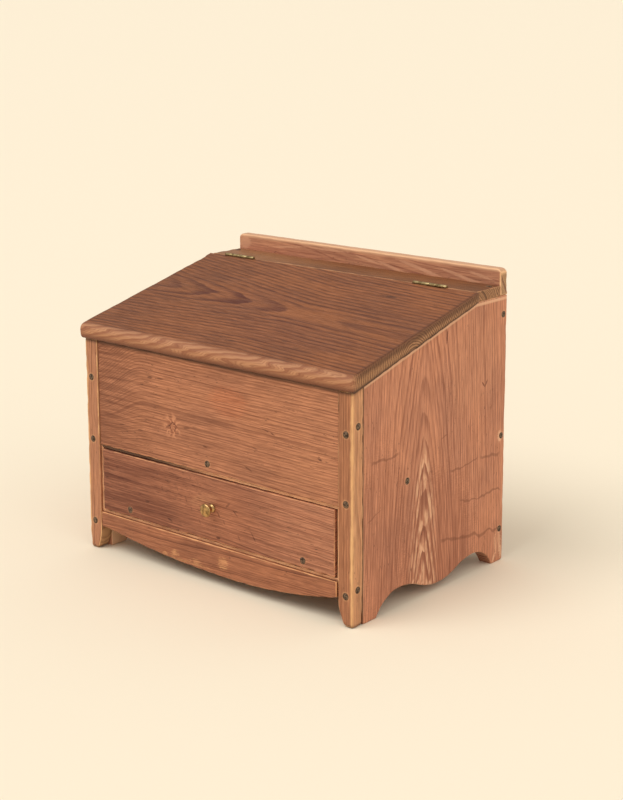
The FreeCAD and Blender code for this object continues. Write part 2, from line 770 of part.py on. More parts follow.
def drawer_front():
    """The drawer front, drawn from above with a rabbet at each end for the sides."""
    core_left = drawer_left + drawer_side_inset + drawer_side_thick
    core_right = drawer_right - drawer_side_inset - drawer_side_thick
    rabbet_front = drawer_front_rear - drawer_rabbet
    corners = [
        (drawer_left, drawer_face),
        (drawer_right, drawer_face),
        (drawer_right, rabbet_front),
        (core_right, rabbet_front),
        (core_right, drawer_front_rear),
        (core_left, drawer_front_rear),
        (core_left, rabbet_front),
        (drawer_left, rabbet_front),
    ]
    body = body_at("drawer_front_blank", z=drawer_low)
    pad(body, outline(body, "drawer_front_outline", "XY_Plane", corners), drawer_top - drawer_low)
    shank = rod("knob_hole", knob_shank_radius + hole_room, drawer_front_thick)
    put(shank, 0, drawer_face, knob_height, INTO["-Y"])
    finish("drawer_front", body, [shank])


def drawer_box():
    """The sides, the bottom and the back of the drawer."""
    left_face = drawer_left + drawer_side_inset
    right_face = drawer_right - drawer_side_inset
    inside = (left_face + drawer_side_thick, right_face - drawer_side_thick)
    side_y = (drawer_front_rear - drawer_rabbet, drawer_end)
    side_z = (drawer_low, drawer_top - drawer_side_drop)
    bottom_z = (drawer_low + drawer_bottom_rise, drawer_low + drawer_bottom_rise + drawer_bottom_thick)
    back_y = (drawer_end - drawer_back_thick, drawer_end)
    back_z = (bottom_z[1], side_z[1] - drawer_back_drop)
    finish("drawer_side_left", block("drawer_side_left_blank", (left_face, inside[0]), side_y, side_z))
    finish("drawer_side_right", block("drawer_side_right_blank", (inside[1], right_face), side_y, side_z))
    finish("drawer_bottom", block("drawer_bottom_blank", inside, (drawer_front_rear, drawer_end), bottom_z))
    finish("drawer_back", block("drawer_back_blank", inside, back_y, back_z))


def knob():
    """The turned brass knob with its shank, and the square nut inside the drawer.

    The profile is drawn as radius across and distance behind the face of the drawer up.
    """
    face = -(knob_reach + drawer_setback)
    rim = face + knob_crown
    under = face + knob_head_thick
    tail = drawer_front_thick + nut_thick + knob_shank_tail
    corners = [
        (0, face),
        (knob_face_radius, rim),
        (knob_head_radius, (rim + under) / 2),
        (knob_neck_radius + knob_flare, under),
        (knob_neck_radius, under + knob_flare),
        (knob_neck_radius, -knob_collar_thick - knob_flare),
        (knob_collar_radius, -knob_collar_thick),
        (knob_collar_radius, 0),
        (knob_shank_radius, 0),
        (knob_shank_radius, tail),
        (0, tail),
    ]
    body = body_at("drawer_knob", y=drawer_face, z=knob_height)
    turned = body.newObject("PartDesign::Revolution", "drawer_knob_turned")
    turned.Profile = outline(body, "drawer_knob_profile", "XY_Plane", corners, [(0, 0, "plumb")])
    turned.ReferenceAxis = (turned.Profile[0], ["V_Axis"])
    turned.Angle = 360
    nodes.append(body)
    half_nut = nut_size / 2
    nut = block("knob_nut_blank", (-half_nut, half_nut), (drawer_front_rear, drawer_front_rear + nut_thick),
                (knob_height - half_nut, knob_height + half_nut))
    hole = put(rod("knob_nut_hole", knob_shank_radius + hole_room, nut_thick),
               0, drawer_front_rear, knob_height, INTO["-Y"])
    finish("knob_nut", nut, [hole])


drive_case_nails()
drive_drawer_nails()
hinges()
for side, sign, _ in SIDES:
    side_board(side, sign)
    post(side, sign)
    drawer_runner(side, sign)
front_panel()
apron()
beads()
plain_boards()
back_rail()
lid_board()
drawer_front()
drawer_box()
knob()
for name, driven in fasteners.items():
    nodes.append(group(name, driven))
doc.recompute()

# Every object is checked before anything is written
failed = [obj.Label for obj in doc.Objects if {"Invalid", "Error"} & set(obj.State)]
unsound = [obj.Label for obj in nodes if obj.Shape.isNull() or not obj.Shape.isValid()]
if failed or unsound:
    raise RuntimeError(f"failed: {failed}; unsound: {unsound}")
os.makedirs("parts", exist_ok=True)
for obj in nodes:
    obj.Shape.exportStep(f"parts/{obj.Label}.step")
    print(f"{obj.Label}: {len(obj.Shape.Solids)} solids, {obj.Shape.Volume / 1000:.1f} cm3")
print(f"{len(nodes)} nodes")
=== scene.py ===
# %% [markdown]
# # A slope-lidded box in old pine
# The packed frame gives every board, hinge and nail its place and its size. This file gives them their
# looks. It is a lesson in cells: each step says what the real thing is, how it could be made in Blender,
# and why it is made this way here. Everything is in metres, in the frame's own axes: +X right, +Y to the
# back, +Z up.

# %% Load the frame
import json
import math

import bpy
import numpy as np
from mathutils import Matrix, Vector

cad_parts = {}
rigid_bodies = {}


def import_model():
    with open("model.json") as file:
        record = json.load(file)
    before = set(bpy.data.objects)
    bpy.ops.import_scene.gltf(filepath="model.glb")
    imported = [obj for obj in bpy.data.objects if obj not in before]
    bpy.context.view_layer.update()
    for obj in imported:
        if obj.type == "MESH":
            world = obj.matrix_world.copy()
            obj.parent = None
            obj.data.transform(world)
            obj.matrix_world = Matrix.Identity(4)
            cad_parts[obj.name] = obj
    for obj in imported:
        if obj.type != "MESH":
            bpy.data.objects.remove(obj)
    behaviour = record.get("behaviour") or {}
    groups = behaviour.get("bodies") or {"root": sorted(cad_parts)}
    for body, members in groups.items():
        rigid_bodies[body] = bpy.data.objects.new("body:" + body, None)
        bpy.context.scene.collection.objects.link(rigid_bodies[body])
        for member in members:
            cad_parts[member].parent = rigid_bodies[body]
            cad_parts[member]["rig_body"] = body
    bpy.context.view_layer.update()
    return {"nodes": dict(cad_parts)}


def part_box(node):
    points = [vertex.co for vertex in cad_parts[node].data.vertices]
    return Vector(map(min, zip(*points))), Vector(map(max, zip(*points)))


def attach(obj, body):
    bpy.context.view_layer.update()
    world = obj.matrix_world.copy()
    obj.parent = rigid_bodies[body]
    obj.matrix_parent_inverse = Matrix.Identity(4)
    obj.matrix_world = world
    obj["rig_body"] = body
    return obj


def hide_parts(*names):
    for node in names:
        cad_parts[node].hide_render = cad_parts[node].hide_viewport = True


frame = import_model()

MM = 0.001
print("nodes in the frame:", len(frame["nodes"]))

# %% [markdown]
# ## Small tools for shapes
# A board that a hand plane has left is never quite flat, and its edges have been rubbed by two centuries of
# hands. Both need a height that rises and falls without a pattern, yet is the same on every run. A sum of
# sine waves in seeded directions does that with plain arrays, and costs far less than a texture that is
# read point by point.

# %% Fades and ripples
def fade(value, low, high):
    """0 at low, 1 at high, and an S-shaped curve 3t^2 - 2t^3 between them."""
    share = np.clip((value - low) / (high - low), 0, 1)
    return share * share * (3 - 2 * share)


def ripple(spots, length, seed, waves=14):
    """A smooth height from -1 to 1: a sum of sine waves about `length` long, in seeded directions."""
    dice = np.random.default_rng(seed)
    way = dice.normal(size=(waves, 3))
    way *= 2 * np.pi / length / np.linalg.norm(way, axis=1, keepdims=True)
    start = dice.uniform(0, 2 * np.pi, waves)
    return np.clip(np.sin(spots @ way.T + start).sum(1) / (0.3 * waves), -1, 1)


def box_of(*nodes):
    """Lowest and highest corner of some CAD nodes, as two arrays."""
    corners = np.array([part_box(node) for node in nodes])
    return corners[:, 0].min(0), corners[:, 1].max(0)


print("ripple at three places:", ripple(np.eye(3) * 0.05, 0.03, 1).round(2))

# %% [markdown]
# ## A block with rounded edges
# Every board starts as a block whose six sides are grids. A cube with a Bevel modifier would look alike,
# but a grid gives the points that wear and warp need all over, and it tells each point how far it is from
# the nearest edge. The rounding is exact: a grid point q is pulled to c + r (q - c) / |q - c|, where c is q
# kept r inside the block. Lines at r (1 - tan a) for even angles a give the quarter turn even facets.

# %% Grid lines
TURN = 1 - np.tan(np.radians([45, 30, 15, 0]))
WORN_LINES = np.array([1, 2.5, 5, 9]) * MM
SAME_LINE = 0.01 * MM


def grid_quads(rows, columns):
    """Quads of a grid of points that are numbered row by row."""
    number = np.arange(rows * columns).reshape(rows, columns)
    corners = [number[:-1, :-1], number[:-1, 1:], number[1:, 1:], number[1:, :-1]]
    return np.stack(corners, -1).reshape(-1, 4)


def lines_along(length, radii, step, stops):
    """Places of the grid lines over one length: the turns at both ends, the worn zone, then even steps."""
    near = np.concatenate([np.outer(radii, TURN).ravel(), max(radii) + WORN_LINES])
    near = np.sort(near[near < 0.45 * length])
    count = max(2, math.ceil((length - 2 * near[-1]) / step) + 1)
    middle = np.linspace(near[-1], length - near[-1], count)
    places = np.sort(np.concatenate([near, middle, length - near, np.array(stops, float)]))
    return places[np.append(True, np.diff(places) > SAME_LINE)]


lines = lines_along(0.1, [2 * MM], 5 * MM, [])
print("grid lines near one end, mm:", (lines[:8] / MM).round(1))


# %% A skin
class Skin:
    """A closed surface: its points, the way out of each, how far each is from an edge, and its faces."""

    def __init__(self, spots, out, edge, quads):
        self.spots = spots
        self.out = out
        self.edge = edge
        self.quads = quads


def together(skins):
    """Several closed skins as one."""
    starts = np.cumsum([0] + [len(skin.spots) for skin in skins[:-1]])
    parts = [np.concatenate([getattr(skin, part) for skin in skins]) for part in ("spots", "out", "edge")]
    return Skin(*parts, np.concatenate([skin.quads + start for skin, start in zip(skins, starts)]))


def facing(skin, axis, way):
    """1 where a skin faces `way` along an axis, 0 where it faces elsewhere."""
    return fade(way * skin.out[:, axis], 0.5, 0.9)


dot = Skin(np.zeros((1, 3)), np.array([[0, 0, 1.0]]), np.zeros(1), np.zeros((0, 4), int))
print("a point whose way out is up faces up by", facing(dot, 2, 1)[0], "and down by", facing(dot, 2, -1)[0])


# %% The block
def block(size, radii, step, stops=None, radius=None):
    """A closed block from the origin to size, with lines for each of the radii and at any extra stops.

    The edges turn by the smallest of the radii, or radius(q) gives each grid point its own, also per axis.
    """
    size = np.array(size, float)
    stops = stops or {}
    lines = [lines_along(size[i], radii, step, stops.get(i, [])) for i in range(3)]
    spots, quads, total = [], [], 0
    for axis in range(3):
        one, two = (axis + 1) % 3, (axis + 2) % 3
        for far in (0, 1):
            grid = np.zeros((len(lines[one]), len(lines[two]), 3))
            grid[..., one] = lines[one][:, None]
            grid[..., two] = lines[two][None, :]
            grid[..., axis] = size[axis] * far
            faces = grid_quads(*grid.shape[:2]) + total
            spots.append(grid.reshape(-1, 3))
            quads.append(faces[:, ::-1] if far else faces)
            total += len(spots[-1])
    spots, quads = np.concatenate(spots), np.concatenate(quads)
    rounded = np.round(spots / (0.001 * MM)).astype(np.int64)
    _, first, number = np.unique(rounded, axis=0, return_index=True, return_inverse=True)
    spots, quads = spots[first], number.reshape(-1)[quads]
    bend = np.full((len(spots), 1), min(radii)) if radius is None else radius(spots)
    bend = bend.reshape(len(spots), -1) * np.ones(3)
    kept = np.clip(spots, bend, size - bend)
    pull = (spots - kept) / bend
    pull /= np.linalg.norm(pull, axis=1, keepdims=True)
    out = pull / bend
    out /= np.linalg.norm(out, axis=1, keepdims=True)
    edge = np.sort(np.minimum(spots, size - spots), axis=1)[:, 1]
    return Skin(kept + pull * bend, out, edge, quads)


sample = block((0.1, 0.02, 0.05), [2 * MM], 5 * MM)
print("a sample block has", len(sample.spots), "points and", len(sample.quads), "quads")

# %% [markdown]
# ## Wear in the shape itself
# Wood only ever loses material, so wear presses the surface inwards: a slow ripple over the faces, and
# uneven bites along the edges. Sculpting by hand would do it once; a formula does it the same way on every
# board.

# %% Wear
PLANE_MARKS, BITE_LENGTH = 80 * MM, 17 * MM


def weather(skin, seed, wave=0.2 * MM, bite=0.5 * MM, reach=2.2 * MM):
    """Press a skin in by a slow ripple and by bites that fade as exp(-(distance to the edge / reach)^2)."""
    slow = 0.5 + 0.5 * ripple(skin.spots, PLANE_MARKS, seed)
    nibble = fade(ripple(skin.spots, BITE_LENGTH, seed + 1), -0.3, 1.0)
    depth = wave * slow + bite * nibble * np.exp(-(skin.edge / reach) ** 2)
    skin.spots = skin.spots - skin.out * depth[:, None]
    return skin


before = sample.spots.copy()
moved = np.linalg.norm(weather(sample, 1).spots - before, axis=1)
print("wear on the sample block, mm:", (moved.min() / MM).round(2), "to", (moved.max() / MM).round(2))

# %% [markdown]
# ## Where the nails are
# The frame holds the nails as small solids, some driven from both sides of the case. Their places are read
# back from it, so the heads, and the marks that they leave in the wood, can't drift from the CAD. The
# points furthest out on one side of a node are the crowns of its heads; points within a head's width of
# each other belong to the same one.

# %% Find the nail heads
HEAD_WIDE = 6 * MM


def crowns(node, axis, way, side=0):
    """Centres of the nail crowns that face `way` along an axis; side -1 or 1 keeps one half of the box."""
    mesh = frame["nodes"][node].data
    spots = np.zeros(len(mesh.vertices) * 3, np.float32)
    mesh.vertices.foreach_get("co", spots)
    spots = np.unique(spots.reshape(-1, 3).astype(float).round(6), axis=0)
    spots = spots[spots[:, 0] * side >= 0]
    spots = spots[spots[:, axis] * way > (spots[:, axis] * way).max() - 0.02 * MM]
    gaps = np.linalg.norm(spots[:, None] - spots[None], axis=2)
    label = (gaps < HEAD_WIDE).argmax(1)
    return np.array([spots[label == k].mean(0) for k in np.unique(label)])


NAILS = {
    "post_front_nails": [(1, -1, 0)],
    "post_side_nails": [(0, -1, 0), (0, 1, 0)],
    "back_board_nails": [(0, -1, 0), (0, 1, 0)],
    "floor_nails": [(0, -1, 0), (0, 1, 0), (1, -1, 0)],
    "top_board_nails": [(2, 1, 0)],
    "rail_nails": [(1, 1, 0)],
    "runner_nails": [(0, 1, -1), (0, -1, 1)],
    "drawer_front_nails": [(1, -1, 0)],
    "drawer_side_nails": [(0, -1, 0), (0, 1, 0)],
}
heads = {node: [(axis, way, crowns(node, axis, way, side)) for axis, way, side in sets]
         for node, sets in NAILS.items()}
all_crowns = np.concatenate([spots for found in heads.values() for _, _, spots in found])
for node, found in heads.items():
    print(node, [len(spots) for _, _, spots in found])

# %% [markdown]
# ## From arrays to a piece
# A piece is one mesh at the origin. Five numbers ride on its points for the materials: how far each is from
# an edge and from a nail, how much it shows end grain, how much it takes the pale bare colour, for bare wood
# and for painted light, and how dark it is, for grime, dark joints and painted shade. The CAD nodes that it
# stands for are named here too, and hidden.

# %% Make a mesh
def mesh_of(name, skin, tris=None):
    """A mesh from points, quads and, at poles, triangles."""
    mesh = bpy.data.meshes.new(name)
    sides = [np.full(len(skin.quads), 4)]
    corners = [skin.quads.reshape(-1)]
    if tris is not None:
        sides.append(np.full(len(tris), 3))
        corners.append(tris.reshape(-1))
    sides, corners = np.concatenate(sides), np.concatenate(corners)
    mesh.vertices.add(len(skin.spots))
    mesh.vertices.foreach_set("co", skin.spots.astype(np.float32).ravel())
    mesh.loops.add(len(corners))
    mesh.loops.foreach_set("vertex_index", corners.astype(np.int32))
    mesh.polygons.add(len(sides))
    mesh.polygons.foreach_set("loop_start", np.append(0, np.cumsum(sides)[:-1]).astype(np.int32))
    mesh.polygons.foreach_set("loop_total", sides.astype(np.int32))
    mesh.polygons.foreach_set("use_smooth", np.ones(len(sides), bool))
    mesh.update(calc_edges=True)
    return mesh


def note(mesh, name, values):
    """Store one number for each point of a mesh."""
    mesh.attributes.new(name, "FLOAT", "POINT").data.foreach_set("value", values.astype(np.float32))


sample_mesh = mesh_of("sample", sample)
print("the sample as a mesh has", len(sample_mesh.polygons), "faces")
bpy.data.meshes.remove(sample_mesh)

# %% Make a piece and a board
NAIL_MARK_REACH = 60
LONG_GRAIN, END_GRAIN = 0.55, 0.9


def make_piece(name, skin, body, material, nodes, tris=None):
    """Put a skin into the scene as a finished piece that rides on a body and stands for some CAD nodes."""
    piece = bpy.data.objects.new(name, mesh_of(name, skin, tris))
    bpy.context.scene.collection.objects.link(piece)
    piece.data.materials.append(material)
    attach(piece, body)
    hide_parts(*nodes)
    return piece


def make_board(node, skin, grain, body, material, raw=None, grime=None):
    """The wooden piece of a CAD node; grain is the axis 0, 1 or 2 that its fibres follow.

    The last two say of each point, from 0 to 1, how much it takes the pale bare colour, for bare wood and for
    painted light on shaded faces, and how dark it is, for grime, dark joints and painted shade.
    """
    board = make_piece(f"{node}_wood", skin, body, material, [node])
    gaps = [np.linalg.norm(skin.spots - crown, axis=1) for crown in all_crowns]
    nowhere = np.zeros(len(skin.spots))
    note(board.data, "edge", skin.edge / MM)
    note(board.data, "end_grain", fade(np.abs(skin.out[:, grain]), LONG_GRAIN, END_GRAIN))
    # The pale bare colour also carries painted light on shaded inner faces; the dark layer also carries
    # painted shade.
    note(board.data, "raw", nowhere if raw is None else raw)
    note(board.data, "grime", nowhere if grime is None else grime)
    note(board.data, "nail", np.minimum(np.min(gaps, axis=0) / MM, NAIL_MARK_REACH))
    return board


print("nail heads to mark in the wood:", len(all_crowns))

# %% [markdown]
# ## Short calls for shader nodes
# A finish is a web of nodes. Written out in full, each node takes four lines, and the web is hard to read.
# The helper below adds a node, sets it up and joins what it reads in one call, so a finish reads like a
# formula. The same web could be drawn by hand in the shader editor, but then it couldn't be read or changed
# as text.

# %% Wiring
class Wiring:
    """Adds nodes to a tree. Every call returns the output socket, so calls can stand inside one another."""

    def __init__(self, tree):
        self.tree = tree

    def feed(self, socket, value):
        """Join a socket to another one, or write a plain value into it."""
        if isinstance(value, bpy.types.NodeSocket):
            self.tree.links.new(value, socket)
        elif value is not None:
            socket.default_value = value

    def add(self, kind, *values, **settings):
        """One node: settings are its options, and values go to its live sockets in their order."""
        node = self.tree.nodes.new("ShaderNode" + kind)
        for name, value in settings.items():
            setattr(node, name, value)
        for socket, value in zip([s for s in node.inputs if s.enabled], values):
            self.feed(socket, value)
        return next(s for s in node.outputs if s.enabled)

    def math(self, operation, *values):
        """One operation on one or two values; further values are taken in one by one."""
        total = self.add("Math", *values[:2], operation=operation)
        for value in values[2:]:
            total = self.add("Math", total, value, operation=operation)
        return total

    def plus(self, *values):
        return self.math("ADD", *values)

    def minus(self, one, other):
        return self.math("SUBTRACT", one, other)

    def times(self, *values):
        return self.math("MULTIPLY", *values)

    def over(self, one, other):
        return self.math("DIVIDE", one, other)

    def apart(self, one, other):
        """How far two values are apart."""
        return self.math("ABSOLUTE", self.minus(one, other))

    def fade(self, value, low, high, start=0.0, end=1.0):
        """An S-shaped ramp from start at low to end at high."""
        return self.add("MapRange", value, low, high, start, end, interpolation_type="SMOOTHSTEP")

    def blend(self, amount, one, other):
        """A colour between two, by an amount."""
        one, other = [(*c, 1) if isinstance(c, tuple) else c for c in (one, other)]
        return self.add("Mix", amount, one, other, data_type="RGBA")

    def noise(self, point, size, detail=2.0, rough=0.5):
        """Cloudy noise from 0 to 1 whose clouds are about `size` millimetres along each axis."""
        spot = self.add("VectorMath", point, size, operation="DIVIDE")
        return self.add("TexNoise", spot, 1.0, detail, rough)

    def stir(self, point, size, detail=2.0, rough=0.5):
        """The same noise, but from -0.5 to 0.5."""
        return self.minus(self.noise(point, size, detail, rough), 0.5)

    def split(self, point):
        """The x, y and z of a point."""
        return self.add("SeparateXYZ", point).node.outputs[:]

    def place(self, origin=(0, 0, 0), turn=(0, 0, 0)):
        """Object coordinates in millimetres, seen from an origin and turned in degrees."""
        where = self.tree.nodes.new("ShaderNodeTexCoord").outputs["Object"]
        origin = tuple(v * MM for v in origin)
        turn = tuple(math.radians(a) for a in turn)
        return self.add("Mapping", where, origin, turn, (MM, MM, MM), vector_type="TEXTURE")

    def face_on(self, up):
        """The same, with a face's own across and up first: up is "xz", "yz" or "xy"."""
        x, y, z = self.split(self.place())
        return self.add("CombineXYZ", *{"xz": (x, z, y), "yz": (y, z, x), "xy": (x, y, z)}[up])

    def read(self, name):
        """A number stored on the points."""
        node = self.tree.nodes.new("ShaderNodeAttribute")
        node.attribute_name = name
        return node.outputs["Fac"]

    def use(self, group, *values):
        """One of the shared groups, fed in the order of its sockets; returns its outputs."""
        node = self.tree.nodes.new("ShaderNodeGroup")
        node.node_tree = group
        for socket, value in zip(node.inputs, values):
            self.feed(socket, value)
        return node.outputs[:] if len(node.outputs) > 1 else node.outputs[0]


print("wiring calls:", [name for name in vars(Wiring) if not name.startswith("_")])


# %% Shared groups
def shared(name, inputs, outputs):
    """An empty node group: its wiring, its inputs, and a function that joins its outputs in their order."""
    group = bpy.data.node_groups.new(name, "ShaderNodeTree")
    for label in inputs:
        kind = "NodeSocketVector" if label == "Point" else "NodeSocketFloat"
        group.interface.new_socket(label, in_out="INPUT", socket_type=kind)
    for label in outputs:
        group.interface.new_socket(label, in_out="OUTPUT", socket_type="NodeSocketFloat")
    start = group.nodes.new("NodeGroupInput").outputs[:len(inputs)]
    end = group.nodes.new("NodeGroupOutput").inputs

    def close(*results):
        for socket, value in zip(end, results):
            group.links.new(value, socket)
        return group

    return Wiring(group), start, close


print("node groups before the first is made:", len(bpy.data.node_groups))

# %% [markdown]
# ## Growth rings
# A board is cut from a trunk, so its lines are where the saw met cylinders round the heart. The rings are
# worked out in the solid: the distance from the heart line, plus a taper along the trunk, because a trunk
# is a long cone. On a face that nearly follows the heart, the taper opens the rings into nested flames, and
# on an end it shows them as arcs, with no join to hide. Each year darkens slowly and ends at a sharp line.
# A wave texture would give even stripes on every board; this gives each its own saw cut.

# %% Growth rings as a node group
w, (point, spacing, taper, wander, vary, push), close = shared(
    "growth_rings", ["Point", "Spacing", "Taper", "Wander", "Vary", "Push"], ["Line", "Tone", "End Line"])
sideways = w.add("VectorMath", point, (0, 1, 1), operation="MULTIPLY")
from_heart = w.add("VectorMath", sideways, operation="LENGTH")
slow = w.times(w.stir(point, (260, 46, 46), 2, 0.45), wander)
small = w.times(w.stir(point, (70, 8, 8)), spacing, 0.6)
distance = w.plus(from_heart, w.times(w.split(point)[0], taper), slow, small, push)
year = w.over(distance, spacing)
year = w.plus(year, w.times(w.add("TexNoise", year, 0.45, 1.0, noise_dimensions="1D"), vary))


def late_line(year):
    """The dark end of each year: it rises slowly and stops sharply."""
    part = w.math("FRACT", year)
    return w.times(w.fade(part, 0.3, 0.86), w.fade(part, 1.0, 0.9))


tone = w.add("TexWhiteNoise", w.math("FLOOR", year), noise_dimensions="1D")
rings = close(late_line(year), tone, late_line(w.times(year, 2.0)))
print("growth rings:", len(rings.nodes), "nodes")

# %% [markdown]
# ## Marks that all the boards share
# Between the rings run fine fibres. Pine also shows short dark dashes where resin ducts are cut open. Edges
# have been rubbed down to pale wood, and damp has left thin wavy lines. Each mark is a group that puts out
# a mask, so every board can wear it in its own colours and amounts.

# %% Fibres, dashes and worn edges
w, (point,), close = shared("fibres", ["Point"], ["Streak", "Hair"])
streak = w.fade(w.noise(point, (90, 3.6, 3.6), 3, 0.6), 0.3, 0.7)
hair = w.fade(w.noise(point, (22, 0.8, 0.8), 2, 0.6), 0.35, 0.65)
fibres = close(streak, hair)

w, (point, length, width, share), close = shared("dashes", ["Point", "Length", "Width", "Share"], ["Mask"])
size = w.add("CombineXYZ", length, width, width)
dash = w.noise(point, size, 1.0, 0.4)
crowd = w.noise(point, (70, 34, 34), 1)
level = w.minus(1.0, share)
dashes = close(w.times(w.fade(dash, level, w.plus(level, 0.05)), w.fade(crowd, 0.42, 0.6)))

w, (point, reach, rag), close = shared("edge_wear", ["Point", "Reach", "Rag"], ["Worn", "Bright"])
close_by = w.times(w.stir(point, (16, 5, 5), 3, 0.6), rag, 2.0)
far_off = w.times(w.stir(point, (90, 60, 60), 1), rag, 1.6)
ragged = w.plus(w.read("edge"), w.plus(close_by, far_off))
worn = w.fade(ragged, reach, w.times(reach, 0.35))
edge_wear = close(worn, w.fade(ragged, w.times(reach, 0.45), w.times(reach, 0.05)))
print("edge wear:", len(edge_wear.nodes), "nodes")

# %% Damp lines
w, (point, start, end, height, slant, wave, width), close = shared(
    "damp_line", ["Point", "Start", "End", "Height", "Slant", "Wave", "Width"], ["Mask"])
across, up, _ = w.split(point)
swing = w.times(w.stir(w.add("CombineXYZ", across, 3.0, height), (26, 9, 9)), wave)
gap = w.apart(up, w.plus(height, w.times(w.minus(across, start), slant), swing))
reach = w.times(w.fade(across, start, w.plus(start, 8.0)), w.fade(across, end, w.minus(end, 8.0)))
thick = w.times(width, w.fade(w.noise(point, (12, 12, 12), 1), 0.2, 0.8, 0.5, 1.5))
damp_line = close(w.times(reach, w.fade(gap, thick, w.times(thick, 0.2))))
print("shared groups:", [group.name for group in bpy.data.node_groups])

# %% [markdown]
# ## Laying up a finish
# A finish is built as on the real board, layer over layer, each laid through a mask. The colours are
# written on the 0 to 255 scale of a paint chart and turned into linear light once, because that is how an
# eye, and a hand that mixes paint, judges them.

# %% A finish
def colour(red, green, blue):
    """A linear colour from the 0 to 255 values of a paint chart."""
    chart = np.array([red, green, blue]) / 255
    linear = np.where(chart > 0.04045, ((chart + 0.055) / 1.055) ** 2.4, chart / 12.92)
    return tuple(float(v) for v in linear)


def shade(paint, *factors):
    """A colour made lighter or darker, by one factor or by one for each channel."""
    return tuple(min(1.0, float(v)) for v in np.array(paint) * factors)


class Finish:
    """A material being laid up: its wiring, its colour so far, and its height for the bump."""

    def __init__(self, name):
        self.material = bpy.data.materials.new(name)
        self.material.use_nodes = True
        self.w = Wiring(self.material.node_tree)
        self.shader = self.material.node_tree.nodes["Principled BSDF"]
        self.colour = None
        self.height = None

    def lay(self, mask, paint, strength=1.0):
        """Lay a colour over the finish through a mask."""
        amount = mask if strength == 1.0 else self.w.times(mask, strength)
        self.colour = self.w.blend(amount, self.colour, paint)

    def close(self, rough, bump, bump_deep):
        """Join the colour, the roughness and the bump to the shader."""
        self.w.feed(self.shader.inputs["Base Color"], self.colour)
        self.w.feed(self.shader.inputs["Roughness"], rough)
        normal = self.w.add("Bump", bump, bump_deep * MM, None, self.height)
        self.w.feed(self.shader.inputs["Normal"], normal)
        return self.material


print("the ground colour of the lid:", [round(v, 3) for v in colour(147, 90, 53)])

# %% [markdown]
# ## Pine under old varnish
# Pine darkens from cream to red-brown under two centuries of light, smoke and varnish. It starts with a
# ground colour that varies slowly. Over it go the dark lines of the years, fibres, resin dashes and dirt
# round the nails, then raw wood on the faces that were never varnished, and pale wood where edges are
# rubbed. The pale raw colour is also laid as painted light on shaded inner faces, and a last dark layer lays
# grime and dark joints together with painted shade. One function lays them all, and each board passes its
# own saw cut, colours and extra marks.

# %% Pine
GRAIN_TURNS = {"x": (0, 0, 0), "z": (0, -90, 0), "y": (0, 0, 90)}
SEED_STEP = np.array([37.0, 53.0, 71.0])
WARM, COOL = (1.2, 1.16, 1.08), (0.78, 0.74, 0.74)
RAW, DARK = (0.52, 0.29, 0.13), (0.05, 0.022, 0.012)
NAIL_HALO, NAIL_DIRT = (8.5, 5.0), (5.0, 4.1)
DASH_LONG, DASH_WIDE, DASH_SHARE = 7.0, 1.3, 0.3


def pine(name, grain, heart, ground, late, worn, end=None, seed=0.0, spacing=3.4, taper=0.02, wander=16.0,
         vary=2.2, turn=(0, 0, 0), bend=None, line=0.95, faint=0.3, streak=0.45, reach=1.6, rag=1.0,
         marks=None, over=None):
    """A pine board.

    heart is where the middle of the trunk passed, in millimetres. ground and late are the colours of a year,
    worn of a rubbed edge and end of a sawn end. spacing, taper, wander and vary shape the years, turn tilts
    the trunk, and bend may warp it. line, faint and streak say how strongly years and fibres show, reach and
    rag how far and how unevenly the edges are rubbed. marks go under the grain, over goes on top of it.
    """
    finish = Finish(name)
    w = finish.w
    point = w.place(heart, tuple(a + b for a, b in zip(GRAIN_TURNS[grain], turn)))
    finish.own = own = w.add("VectorMath", point, tuple(seed * SEED_STEP), operation="ADD")
    bent, push = bend(w, point) if bend else (point, 0.0)
    ring_line, tone, end_line = w.use(rings, bent, spacing, taper, wander, vary, push)
    finish.line = w.times(ring_line, w.fade(w.noise(own, (70, 4, 4)), 0.3, 0.6, 0.4, 1.0))
    fibre_streak, hair = w.use(fibres, own)

    cloud = w.noise(own, (120, 55, 55), 3, 0.55)
    finish.colour = w.blend(w.fade(cloud, 0.3, 0.7), shade(ground, *COOL), shade(ground, *WARM))
    if marks:
        marks(finish)
    finish.lay(fibre_streak, shade(ground, 1.5), streak)
    finish.lay(w.times(finish.line, w.fade(tone, 0.0, 1.0, faint, 1.0)), late, line)
    finish.lay(hair, shade(late, 0.7), 0.4)
    finish.lay(w.use(dashes, own, DASH_LONG, DASH_WIDE, DASH_SHARE), DARK, 0.75)

    nail = w.read("nail")
    ragged = w.plus(nail, w.times(w.noise(own, (3, 3, 3)), 3.0))
    finish.lay(w.fade(ragged, *NAIL_HALO), worn, 0.35)
    finish.lay(w.fade(nail, *NAIL_DIRT), DARK, 0.85)

    # Pale bare wood; on the inner faces of the feet this is painted light.
    finish.lay(w.read("raw"), w.blend(w.times(ring_line, 0.45), RAW, late), 0.9)
    pores = w.fade(w.noise(own, (6, 0.9, 0.9)), 0.35, 0.65, 0.6, 1.0)
    sawn = w.blend(w.times(end_line, pores), end or shade(ground, 1.3), shade(late, 0.5))
    finish.lay(w.read("end_grain"), sawn, 0.95)

    rubbed, bright = w.use(edge_wear, own, reach, rag)
    finish.lay(rubbed, worn, 0.65)
    finish.lay(bright, shade(worn, 1.25), 0.7)
    if over:
        over(finish)
    # Grime and dark joints, and painted shade and shadow where a board sets them.
    finish.lay(w.read("grime"), DARK, 0.85)

    finish.height = w.plus(w.times(ring_line, -0.5), w.times(hair, 0.5), w.times(fibre_streak, 0.3))
    finish.shader.inputs["Specular IOR Level"].default_value = 0.3
    rough = w.fade(w.plus(w.times(cloud, 0.5), w.times(hair, 0.5)), 0.2, 0.8, 0.5, 0.68)
    return finish.close(rough, bump=0.35, bump_deep=0.25)


print("directions that the grain can take:", list(GRAIN_TURNS))
